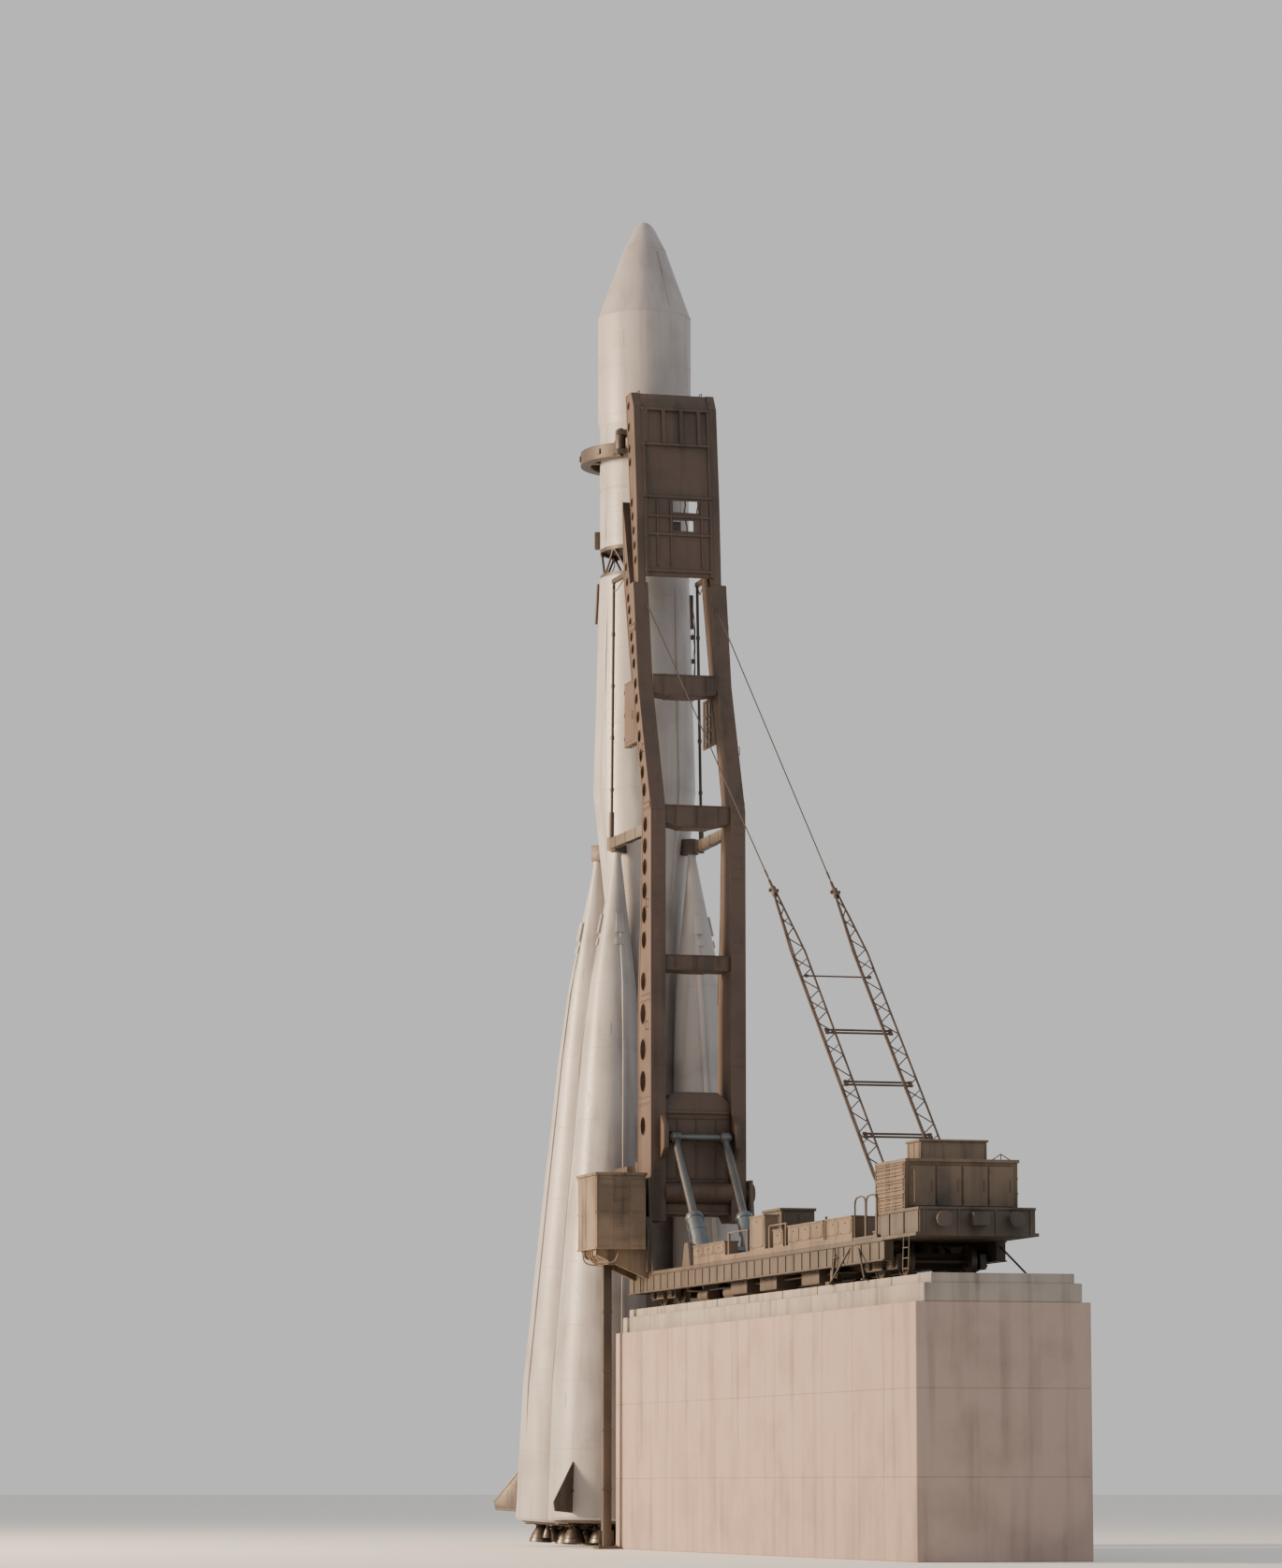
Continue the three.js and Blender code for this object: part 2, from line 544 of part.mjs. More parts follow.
// Rear cabin with its roof box, and the two hoops at the left deck edge
const cabinParts = [
  box(26320, 28600, -1390, 1350, 8080 + SEAT, 9230),
  box(26280, 28650, -1400, 1400, 9180, 9260),
  box(27100, 28100, -860, 780, 9240, 9740),
];
for (const low of [8180, 8530, 8880]) {
  for (let k = 0; k < 3; k += 1) {
    cabinParts.push(box(26450, 28500, -1420, -1380, low + 90 * k, low + 90 * k + 50));
  }
}
node("rear_cabin", join(cabinParts), "railcar_paint");

const hoopParts = [box(24800, 26700, -1490, -1430, DECK_Z + SEAT, 7580)];
for (const x of [24880, 25780]) {
  const arch = [[x, 7550], [x, 8200], [x + 120, 8420], [x + 420, 8520], [x + 720, 8420],
    [x + 840, 8200], [x + 840, 7550]];
  for (let i = 1; i < arch.length; i += 1) {
    const [a, b] = [arch[i - 1], arch[i]];
    hoopParts.push(bar([a[0], -1460, a[1]], [b[0], -1460, b[1]], 26, 4));
  }
}
node("hoop_rails", join(hoopParts), "railcar_paint");

// Front cabinet beside the boom's foot, its brackets and its post
const bracketRows = [[-3000, 8120], [-3000, 7960], [-1500 - SEAT, 7300], [-1500 - SEAT, 8120]];
const cabinetParts = [
  box(4300, 6300, -3050, -1650, 8100, 10150),
  box(4260, 6340, -3080, -1640, 10120, 10180),
  slab(bracketRows, "x", 4500, 4700),
  slab(bracketRows, "x", 5800, 6000),
  box(4500, 6000, -2620, -2380, 7700, 8120),
];
for (let z = 8400; z < 10000; z += 350) {
  cabinetParts.push(box(6290, 6390, -2520, -2490, z, z + 26));
  cabinetParts.push(box(6290, 6390, -2170, -2140, z, z + 26));
  cabinetParts.push(box(6364, 6390, -2520, -2140, z, z + 26));
}
node("front_cabinet", join(cabinetParts), "cabinet_paint");
const post = join(
  box(5180, 5420, -2620, -2380, 60, 7700 - SEAT),
  box(5000, 5600, -2800, -2200, 0, 80),
);
node("cabinet_post", post, "railcar_paint");

// Bogies: two frames that swivel under the deck, each with two wheelsets
const BOGIES = [["front", 5200, 7050], ["rear", 24900, 26750]];
// Half a wheelset's turned outline: rows of [radius, distance from the middle]
const WHEEL_ROWS = [
  [AXLE_R, 700], [FLANGE_R, 700], [FLANGE_R, 725], [WHEEL_R, 735], [WHEEL_R, 850], [AXLE_R, 850],
  [AXLE_R, 1090], [0, 1090],
];
let set = 0;
for (const [end, xa, xb] of BOGIES) {
  const mid = (xa + xb) / 2;
  const side = join(
    slab([[xa - 300, 6760], [xb + 300, 6760], [xb + 300, 7120], [mid + 350, 7220], [mid - 350, 7220],
      [xa - 300, 7120]], "y", 950, 1100),
  );
  const bores = [xa, xb].map((x) => bar([x, -1200, AXLE_Z], [x, 1200, AXLE_Z], bore(AXLE_R, 24), 24));
  const frame = join(
    side,
    mirrorY(side),
    box(mid - 260, mid + 260, -1000, 1000, 6800, 7180),
    bar([mid, 0, 7100], [mid, 0, 7420 - SEAT], 260, 20),
  );
  node("bogie_" + end, cut(frame, bores), "railcar_paint");
  for (const x of [xa, xb]) {
    set += 1;
    const about = new THREE.Matrix4().makeTranslation(x, 0, AXLE_Z);
    about.multiply(new THREE.Matrix4().makeRotationX(-Math.PI / 2));
    const rows = WHEEL_ROWS.map(([r, y]) => [r, y]);
    const other = WHEEL_ROWS.map(([r, y]) => [r, -y]).reverse();
    const wheels = [moved(turned([...other, ...rows], 24), about)];
    node("wheelset_" + set, join(wheels), "wheel_steel");
  }
}

// Tilt rams: a pair of barrels on one trunnion, and a pair of rods on one crosshead
const ramWay = new THREE.Vector3(RAM_EYE.x - RAM_FOOT.x, 0, RAM_EYE.z - RAM_FOOT.z).normalize();
const onRam = (y, far) => [RAM_FOOT.x + ramWay.x * far, y, RAM_FOOT.z + ramWay.z * far];
const RAM_LONG = Math.hypot(RAM_EYE.x - RAM_FOOT.x, RAM_EYE.z - RAM_FOOT.z);
const barrels = [bar([RAM_FOOT.x, -1150, RAM_FOOT.z], [RAM_FOOT.x, 1150, RAM_FOOT.z], 100, 30)];
const rods = [bar([RAM_EYE.x, -880, RAM_EYE.z], [RAM_EYE.x, 880, RAM_EYE.z], 110, 16)];
const ramBores = [];
for (const y of [-RAM_Y, RAM_Y]) {
  barrels.push(bar(onRam(y, -1400), onRam(y, 1200), 220, 16));
  barrels.push(bar(onRam(y, 1080), onRam(y, 1240), 245, 16));
  ramBores.push(bar(onRam(y, -1350), onRam(y, 1300), 120 + RUNNING / Math.cos(Math.PI / 16), 16));
  rods.push(bar(onRam(y, 850), onRam(y, RAM_LONG - 60), 120, 16));
  rods.push(bar([RAM_EYE.x, y - 130, RAM_EYE.z], [RAM_EYE.x, y + 130, RAM_EYE.z], 175, 12));
}
node("ram_barrels", cut(join(barrels), ramBores), "ram_steel");
node("ram_rods", join(rods), "ram_steel");

// Stay frame: two three-chord lattice struts with cross bars
const strutWay = new THREE.Vector3(STRUT_TIP.x - STRUT_FOOT.x, 0, STRUT_TIP.z - STRUT_FOOT.z);
const STRUT_LONG = strutWay.length();
strutWay.normalize();
const strutUp = new THREE.Vector3(-strutWay.z, 0, strutWay.x);
if (strutUp.z < 0) strutUp.negate();
const onStrut = (far, y, up) => [
  STRUT_FOOT.x + strutWay.x * far + strutUp.x * up,
  y,
  STRUT_FOOT.z + strutWay.z * far + strutUp.z * up,
];
const LATTICE_HALF = 190;
const latticeAt = (far) =>
  LATTICE_HALF * Math.min(1, 0.2 + far / 1800, 0.15 + (STRUT_LONG - far) / 3400);
const strutParts = [];
const BAYS = 9;
const bayAt = (i) => 420 + ((STRUT_LONG - 900) / BAYS) * i;
for (const way of [-1, 1]) {
  const y = way * STRUT_Y;
  const chords = (far) => {
    const half = latticeAt(far);
    return [
      onStrut(far, y - half, half * 0.5),
      onStrut(far, y + half, half * 0.5),
      onStrut(far, y, -half),
    ];
  };
  const stops = [40, 1440, STRUT_LONG - 2890, STRUT_LONG - 40].map(chords);
  for (let k = 0; k < 3; k += 1) {
    for (let i = 1; i < stops.length; i += 1) {
      strutParts.push(bar(stops[i - 1][k], stops[i][k], 30, 4));
    }
  }
  for (let i = 1; i <= BAYS; i += 1) {
    const from = chords(bayAt(i - 1));
    const to = chords(bayAt(i));
    const [a, b] = i % 2 ? [0, 1] : [1, 0];
    strutParts.push(bar(from[a], to[b], 20, 3));
  }
  strutParts.push(bar(onStrut(-60, y, 0), onStrut(330, y, 0), 90, 8));
  const pinEnds = [y - 250, y + 250].map((at) => [STRUT_FOOT.x, at, STRUT_FOOT.z]);
  strutParts.push(bar(pinEnds[0], pinEnds[1], 50, 20));
  strutParts.push(bar(onStrut(STRUT_LONG - 330, y, 0), onStrut(STRUT_LONG, y, 0), 80, 8));
}
for (const far of [3060, 3180, 5130, 5250, 7250, 7370, 9630]) {
  const r = far > 9000 ? 22 : 28;
  strutParts.push(bar(onStrut(far, -STRUT_Y, 60), onStrut(far, STRUT_Y, 60), r, 4));
}
node("stay_frame", join(strutParts), "erector_paint");

// Stay cables from the strut tips to the boom's back edges
const stayFoot = onStrut(STRUT_LONG + SEAT + 1.1, STRUT_Y, 0);
const stayBody = bar(stayFoot, [STAY_EYE.x, STAY_EYE.y, STAY_EYE.z], 18, 6);
const stayRight = cut(stayBody, moved(girderBody, new THREE.Matrix4().makeTranslation(SEAT, 0, 0)));
node("stay_cable_right", stayRight, "cable_steel");
node("stay_cable_left", mirrorY(stayRight), "cable_steel");

export default root;
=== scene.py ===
"""Space rocket held upright by its rail erector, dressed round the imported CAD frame.

Metres, +Z up. Each piece is drawn with the rocket's axis at x = 0, and dress() moves it to the frame.
"""

import json
import math

import bpy
from mathutils import Matrix, Vector

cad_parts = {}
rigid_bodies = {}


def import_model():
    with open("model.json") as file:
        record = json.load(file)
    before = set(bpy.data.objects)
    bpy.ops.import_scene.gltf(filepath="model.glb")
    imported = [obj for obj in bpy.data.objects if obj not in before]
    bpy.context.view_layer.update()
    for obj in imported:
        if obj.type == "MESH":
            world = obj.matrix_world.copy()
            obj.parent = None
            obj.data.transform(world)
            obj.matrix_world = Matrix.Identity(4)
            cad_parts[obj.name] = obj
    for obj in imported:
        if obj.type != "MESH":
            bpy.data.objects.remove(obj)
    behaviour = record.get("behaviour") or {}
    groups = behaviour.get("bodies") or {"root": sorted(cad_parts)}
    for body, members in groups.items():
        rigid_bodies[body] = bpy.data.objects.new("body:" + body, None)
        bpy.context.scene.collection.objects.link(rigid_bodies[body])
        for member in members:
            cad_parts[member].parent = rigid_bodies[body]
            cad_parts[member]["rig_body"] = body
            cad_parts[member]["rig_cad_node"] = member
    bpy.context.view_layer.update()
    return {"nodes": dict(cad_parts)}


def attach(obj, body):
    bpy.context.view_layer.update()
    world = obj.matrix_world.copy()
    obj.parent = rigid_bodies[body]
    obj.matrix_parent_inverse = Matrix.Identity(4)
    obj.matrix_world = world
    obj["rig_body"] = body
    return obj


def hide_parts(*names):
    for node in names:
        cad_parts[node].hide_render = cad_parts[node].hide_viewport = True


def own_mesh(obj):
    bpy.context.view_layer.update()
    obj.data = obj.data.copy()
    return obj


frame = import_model()
bpy.ops.object.select_all(action="DESELECT")

# Concrete plinth
# A cast concrete wall and its narrower cap carry the railcar. The shutter boards left level
# lines and upright joints, and rain has drawn dark streaks down from the cap.
ROCKET_X = -13.967


def only(obj):
    """Selects one object alone and makes it active."""
    bpy.ops.object.select_all(action="DESELECT")
    obj.select_set(True)
    bpy.context.view_layer.objects.active = obj


def settle(obj, name):
    """Puts a piece's place into its mesh and names it."""
    only(obj)
    bpy.ops.object.transform_apply(location=True, rotation=True, scale=True)
    obj.name = name
    obj.data.name = name
    return obj


def smoothed(obj, angle):
    """Shades a piece smooth, but for edges sharper than an angle in degrees."""
    bpy.ops.object.shade_smooth_by_angle(angle=math.radians(angle))
    return obj


def block(low, high):
    """A box between two opposite corners."""
    bpy.ops.mesh.primitive_cube_add(size=1, location=[(a + b) / 2 for a, b in zip(low, high)])
    obj = bpy.context.object
    obj.scale = [abs(b - a) for a, b in zip(low, high)]
    return settle(obj, "block")


def applied(obj, kind, **settings):
    """Gives a piece one modifier and applies it."""
    only(obj)
    made = obj.modifiers.new("made", kind)
    for label, value in settings.items():
        setattr(made, label, value)
    bpy.ops.object.modifier_apply(modifier=made.name)
    return obj


def bevelled(obj, width, segments=1, angle=35):
    """Rounds the sharp edges of a piece."""
    applied(obj, "BEVEL", width=width, segments=segments, limit_method="ANGLE",
            angle_limit=math.radians(angle))
    return smoothed(obj, angle)


def slab(low, high, edge=0.006, segments=1):
    """A plate, rib, cap or pad: a box between two opposite corners, with rounded edges."""
    return bevelled(block(low, high), edge, segments)


def together(parts, name):
    """Joins pieces into one mesh."""
    bpy.ops.object.select_all(action="DESELECT")
    for part in parts:
        part.select_set(True)
    bpy.context.view_layer.objects.active = parts[0]
    if len(parts) > 1:
        bpy.ops.object.join()
    return settle(bpy.context.object, name)


def shift(x=0.0, y=0.0, z=0.0):
    """A move, as a matrix."""
    return Matrix.Translation((x, y, z))


def moved(part, place):
    """A piece moved by a matrix in its own mesh."""
    part.data.transform(place)
    return part


def twins(part, places):
    """Copies of one modelled piece, each with its own mesh, in place of the first."""
    made = []
    for place in places:
        twin = part.copy()
        twin.data = part.data.copy()
        bpy.context.scene.collection.objects.link(twin)
        made.append(moved(twin, place))
    bpy.data.objects.remove(part)
    return made


def dress(parts, name, body, material, *nodes):
    """Joins a piece's parts, moves it to the frame and lets it ride on its body in its material."""
    obj = moved(together(parts, name), shift(ROCKET_X))
    obj.data.materials.clear()
    obj.data.materials.append(material)
    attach(obj, body)
    if nodes:
        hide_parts(*nodes)
    return obj


def fed(group, node, place, value):
    """Feeds a node's socket from another socket, or sets it to a number or a colour."""
    if isinstance(value, bpy.types.NodeSocket):
        group.links.new(value, node.inputs[place])
    else:
        node.inputs[place].default_value = value


def blotches(group, vector, scale, detail=5.0, stretch=(1.0, 1.0, 1.0)):
    """A noise texture with its own stretch, fed by a vector socket."""
    turn = group.nodes.new("ShaderNodeMapping")
    fed(group, turn, "Scale", stretch)
    fed(group, turn, "Vector", vector)
    noise = group.nodes.new("ShaderNodeTexNoise")
    fed(group, noise, "Scale", scale)
    fed(group, noise, "Detail", detail)
    fed(group, noise, "Vector", turn.outputs["Vector"])
    return noise.outputs["Fac"]


def ramp(group, value, low, high):
    """A smooth step between two values of a mask."""
    step = group.nodes.new("ShaderNodeMapRange")
    step.interpolation_type = "SMOOTHSTEP"
    fed(group, step, "From Min", low)
    fed(group, step, "From Max", high)
    fed(group, step, "Value", value)
    return step.outputs["Result"]


def maths(group, kind, a, b):
    """One sum on two sockets or numbers."""
    node = group.nodes.new("ShaderNodeMath")
    node.operation = kind
    fed(group, node, 0, a)
    fed(group, node, 1, b)
    return node.outputs["Value"]


# Weather: blotches, upright streaks and fine grain, shared by every outdoor finish.
weather = bpy.data.node_groups.new("Weather", "ShaderNodeTree")
for label, value in (("Colour", (0.5, 0.5, 0.5, 1.0)), ("Stain", (0.1, 0.1, 0.1, 1.0)), ("Blotch", 0.3),
                     ("Streak", 0.3), ("Smooth", 0.5)):
    kind = "NodeSocketFloat" if isinstance(value, float) else "NodeSocketColor"
    weather.interface.new_socket(label, in_out="INPUT", socket_type=kind).default_value = value
for label, kind in (("Colour", "NodeSocketColor"), ("Roughness", "NodeSocketFloat"),
                    ("Height", "NodeSocketFloat")):
    weather.interface.new_socket(label, in_out="OUTPUT", socket_type=kind)
weather_in = weather.nodes.new("NodeGroupInput").outputs
weather_out = weather.nodes.new("NodeGroupOutput")
weather_at = weather.nodes.new("ShaderNodeTexCoord").outputs["Object"]
weather_blotch = ramp(weather, blotches(weather, weather_at, 0.7), 0.42, 0.70)
weather_streak = ramp(weather, blotches(weather, weather_at, 2.6, 3.0, (1.0, 1.0, 0.07)), 0.48, 0.72)
weather_grain = blotches(weather, weather_at, 14.0, 4.0)
weather_mask = maths(weather, "ADD", maths(weather, "MULTIPLY", weather_blotch, weather_in["Blotch"]),
                     maths(weather, "MULTIPLY", weather_streak, weather_in["Streak"]))
weather_tone = weather.nodes.new("ShaderNodeMix")
weather_tone.data_type = "RGBA"
for place, socket in ((0, weather_mask), (6, weather_in["Colour"]), (7, weather_in["Stain"])):
    fed(weather, weather_tone, place, socket)
fed(weather, weather_out, "Colour", weather_tone.outputs[2])
fed(weather, weather_out, "Roughness",
    maths(weather, "ADD", weather_in["Smooth"], maths(weather, "MULTIPLY", weather_grain, 0.25)))
fed(weather, weather_out, "Height", weather_grain)


def weathered(name, colour, stain, blotch, streak, rough, metal=0.0, bump=0.15):
    """A painted, cast or bare surface that has stood outdoors."""
    made = bpy.data.materials.new(name)
    made.use_nodes = True
    tree = made.node_tree
    shader = tree.nodes["Principled BSDF"]
    fed(tree, shader, "Metallic", metal)
    effect = tree.nodes.new("ShaderNodeGroup")
    effect.node_tree = weather
    for label, value in (("Colour", (*colour, 1.0)), ("Stain", (*stain, 1.0)), ("Blotch", blotch),
                         ("Streak", streak), ("Smooth", rough - 0.12)):
        fed(tree, effect, label, value)
    raised = tree.nodes.new("ShaderNodeBump")
    fed(tree, raised, "Strength", bump)
    fed(tree, raised, "Distance", 0.01)
    fed(tree, raised, "Height", effect.outputs["Height"])
    fed(tree, shader, "Base Color", effect.outputs["Colour"])
    fed(tree, shader, "Roughness", effect.outputs["Roughness"])
    fed(tree, shader, "Normal", raised.outputs["Normal"])
    return made


concrete_grey = weathered("Cap concrete", (0.30, 0.268, 0.238), (0.13, 0.115, 0.10), 0.4, 0.6, 0.85, 0.0, 0.5)
concrete_pink = weathered("Wall concrete", (0.365, 0.275, 0.240), (0.20, 0.15, 0.13), 0.35, 0.45, 0.88, 0.0,
                          0.5)
PLINTH_X = (4.8, 31.5)
WALL_COURSES = (0.0, 1.9, 3.9, 5.8497)
WALL_BAYS, CAP_BAYS = 11, 9


def bays(start, end, count):
    """Both ends of each of a count of equal bays along a length."""
    stops = [start + k * (end - start) / count for k in range(count + 1)]
    return list(zip(stops, stops[1:]))


parts = [slab((x0, -2.1, z0), (x1, 2.1, z1), 0.014)
         for z0, z1 in zip(WALL_COURSES, WALL_COURSES[1:]) for x0, x1 in bays(*PLINTH_X, WALL_BAYS)]
dress(parts, "plinth_wall_cast", "railcar", concrete_pink, "plinth_wall")
parts = []
for x0, x1 in bays(*PLINTH_X, CAP_BAYS):
    parts += [slab((x0, -1.9, 5.85), (x1, 1.9, 6.28), 0.03, 2),
              slab((x0 + 0.03, -1.72, 6.24), (x1 - 0.03, 1.72, 6.5), 0.02, 2)]
dress(parts, "plinth_cap_cast", "railcar", concrete_grey, "plinth_cap")

# Railcar chassis
# A welded deck on deep side sills, with the pedestals that carry the boom, the bearings of the
# rams and of the stay frame, buffers at both ends, and a raised platform at the rear.


def refined(node, edge=0.01):
    """A merged copy of a CAD node in the rocket's own place, with whole flat faces and soft edges."""
    obj = frame["nodes"][node].copy()
    obj.data = obj.data.copy()
    obj.parent = None
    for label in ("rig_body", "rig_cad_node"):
        if label in obj:
            del obj[label]
    bpy.context.scene.collection.objects.link(obj)
    only(moved(obj, shift(-ROCKET_X)))
    bpy.ops.object.mode_set(mode="EDIT")
    bpy.ops.mesh.select_all(action="SELECT")
    bpy.ops.mesh.remove_doubles(threshold=0.00005)
    bpy.ops.mesh.dissolve_limited(angle_limit=math.radians(0.6))
    bpy.ops.object.mode_set(mode="OBJECT")
    return bevelled(obj, edge, 1, 30)


def rib(xs, y, half, zs, edge=0.006):
    """A slab that stands half its thickness to each side of y."""
    return slab((xs[0], y - half, zs[0]), (xs[1], y + half, zs[1]), edge)


def rod(start, end, radius, sides=8, far_radius=None):
    """A round bar between two points."""
    a, b = Vector(start), Vector(end)
    way = b - a
    bpy.ops.mesh.primitive_cone_add(
        vertices=sides, radius1=radius, radius2=radius if far_radius is None else far_radius,
        depth=way.length, location=(a + b) / 2, rotation=way.to_track_quat("Z", "Y").to_euler())
    return smoothed(settle(bpy.context.object, "rod"), 50)


def run(points, radius, sides=8):
    """A bent bar or pipe through points, with a round knee at each bend."""
    parts = [rod(a, b, radius, sides) for a, b in zip(points, points[1:])]
    for point in points[1:]:
        bpy.ops.mesh.primitive_uv_sphere_add(segments=sides, ring_count=max(4, sides // 2), radius=radius,
                                             location=point)
        parts.append(settle(bpy.context.object, "knee"))
        bpy.ops.object.shade_smooth()
    return together(parts, "run")


def bolts(places, axis, radius, height):
    """Hexagon bolt heads at the given places, all facing one way."""
    turn = Vector(axis).to_track_quat("Z", "Y").to_matrix().to_4x4()
    bpy.ops.mesh.primitive_cylinder_add(vertices=6, radius=radius, depth=height)
    head = bevelled(settle(bpy.context.object, "bolt"), radius * 0.12, 1, 40)
    return together(twins(head, [shift(*place) @ turn for place in places]), "bolts")


def circle(count, start=0):
    """The cosine and sine of a count of equal turns round a circle, from a start in degrees."""
    turns = [math.radians(start + 360 * k / count) for k in range(count)]
    return [(math.cos(turn), math.sin(turn)) for turn in turns]


railcar_brown = weathered("Railcar paint", (0.078, 0.059, 0.045), (0.030, 0.024, 0.018), 0.55, 0.5, 0.6)
parts = [refined("chassis")]
places = [shift(4.5 + step * 0.7, side * 1.505, 6.98) for step in range(33) for side in (-1, 1)]
parts += twins(rib((0, 0.02), 0, 0.02, (0, 0.40), 0.004), places)
for side in (-1, 1):
    for zs in ((6.94, 6.975), (7.395, 7.42)):
        parts.append(rib((4.0, 27.3), side * 1.51, 0.03, zs))
    for x in (5.0, 6.2):
        parts.append(rib((x, x + 0.06), side * 1.56, 0.05, (7.5, 8.7)))
    ring = [(5.6 + 0.2 * c, side * 1.605, 9.7 + 0.2 * s) for c, s in circle(8)]
    parts.append(bolts(ring, (0, side, 0), 0.024, 0.03))
# Tread plates of the deck, laid in bays with a seam between them
for x in (10.62 + bay * 1.75 for bay in range(9)):
    for side in (-1, 1):
        if not 21.4 < x + 1.7 < 22.9:
            parts.append(slab((x, side * 0.42, 7.499), (x + 1.7, side * 0.62, 7.512), 0.003))
# Rear platform: posts and handrails
for y in (-1.3, -0.45, 0.45, 1.3):
    parts.append(rib((29.69, 29.73), y, 0.03, (7.45, 8.06)))
parts.append(rib((29.69, 29.74), 0, 1.38, (8.02, 8.085), 0.008))
for side in (-1, 1):
    parts.append(rib((26.35, 29.7), side * 1.41, 0.02, (8.02, 8.085)))
    for x in (27.4, 28.5, 29.6):
        parts.append(rib((x, x + 0.05), side * 1.41, 0.018, (7.5, 8.03), 0.005))
# Ladders, slanting legs, brake pipes, boxes and air tanks under the deck
for x in (23.3, 28.9):
    for way in (0.0, 0.42):
        parts.append(rod((x + way, -1.53, 7.42), (x + way, -1.56, 6.62), 0.016))
    for z in (6.68, 6.92, 7.16):
        parts.append(rod((x, -1.555, z), (x + 0.42, -1.555, z), 0.014))
for top, (x, y, z) in (((24.6, -1.5, 7.34), (23.9, -1.78, 6.53)), ((25.3, -1.5, 7.30), (26.7, -1.80, 6.53)),
                       ((23.4, -1.5, 7.30), (23.75, -1.70, 6.53)), ((27.25, 1.38, 7.30), (28.7, 1.60, 6.53)),
                       ((24.6, 1.5, 7.34), (23.9, 1.78, 6.53))):
    parts += [rod(top, (x, y, z), 0.026), rib((x - 0.09, x + 0.09), y, 0.07, (6.505, 6.535))]
for side in (-1, 1):
    parts.append(run([(9.0, side * 1.2, 7.35), (9.0, side * 1.2, 6.88), (9.4, side * 1.0, 6.86),
                      (22.0, side * 1.0, 6.86), (22.4, side * 0.62, 6.86)], 0.028))
for x in (13.2, 15.9, 19.6):
    parts.append(slab((x, -1.22, 6.62), (x + 1.5, -0.62, 6.98), 0.03, 2))
    parts.append(bolts([(x + 0.2 * k, -1.23, 6.93) for k in range(1, 7)], (0, -1, 0), 0.02, 0.03))
for x, y in ((10.0, -0.9216), (12.5, -0.9216), (10.0, 0.9216), (18.0, 0.9216)):
    bpy.ops.mesh.primitive_cylinder_add(vertices=24, radius=0.19, depth=0.95, location=(x, y, 6.72),
                                        rotation=(0, math.radians(90), 0))
    parts.append(bevelled(settle(bpy.context.object, "air_tank"), 0.05, 3, 40))
dress(parts, "chassis_frame", "railcar", railcar_brown, "chassis")

# Bogies
# Two cast side frames on sprung axle boxes, joined by a bolster that swivels under the deck.


def hoop(at, radius, thick, sides, soft=False, upright=False, around=6):
    """A ring of round wire about the Z axis, or about the Y axis when it is upright."""
    bpy.ops.mesh.primitive_torus_add(
        major_radius=radius, minor_radius=thick, major_segments=sides, minor_segments=around, location=at,
        rotation=(math.radians(90) if upright else 0, 0, 0))
    if soft:
        bpy.ops.object.shade_smooth()
    return settle(bpy.context.object, "hoop")


for end, near, far in (("front", 5.2, 7.05), ("rear", 24.9, 26.75)):
    body = "bogie_" + end
    parts = [refined(body, 0.012)]
    middle = (near + far) / 2
    for side in (-1, 1):
        y = side * 1.13
        for x in (near, far):
            parts.append(slab((x - 0.15, y - 0.05, 6.80), (x + 0.15, y + 0.05, 7.09), 0.03, 2))
            spots = [(x + dx, side * 1.185, 6.945 + dz) for dx in (-0.09, 0.09) for dz in (-0.09, 0.09)]
            parts.append(bolts(spots, (0, side, 0), 0.022, 0.03))
        parts += [hoop((x, side * 1.12, 6.84 + turn * 0.052), 0.085, 0.018, 14)
                  for x in (middle - 0.24, middle, middle + 0.24) for turn in range(5)]
        for z in (6.75, 7.10):
            parts.append(rib((middle - 0.36, middle + 0.36), y, 0.08, (z, z + 0.06), 0.012))
        parts.append(rib((near + 0.25, far - 0.25), side * 1.12, 0.02, (7.11, 7.15)))
    dress(parts, body + "_frame", body, railcar_brown, body)

# Wheelsets
# Forged wheels with flanges are pressed on a turned axle, with dished webs between hub and rim.


def lathed(rows, sides, soft=30, wall=0.0):
    """A turned body: a disc or ring drawn up through rows of (radius, z), and a wall where it is thin."""
    (wide, at), rest = rows[0], rows[1:]
    bpy.ops.mesh.primitive_circle_add(
        vertices=sides, radius=wide, fill_type="NOTHING" if wall else "NGON", location=(0, 0, at))
    bpy.ops.object.mode_set(mode="EDIT")
    bpy.ops.mesh.select_all(action="SELECT")
    for r, z in rest:
        bpy.ops.mesh.extrude_region_move(TRANSFORM_OT_translate={"value": (0, 0, z - at)})
        bpy.ops.transform.resize(value=(r / wide, r / wide, 1), center_override=(0, 0, z))
        wide, at = r, z
    bpy.ops.mesh.select_all(action="SELECT")
    bpy.ops.mesh.normals_make_consistent(inside=False)
    bpy.ops.object.mode_set(mode="OBJECT")
    obj = settle(bpy.context.object, "turned")
    if wall:
        applied(obj, "SOLIDIFY", thickness=wall, offset=0)
    return smoothed(obj, soft)


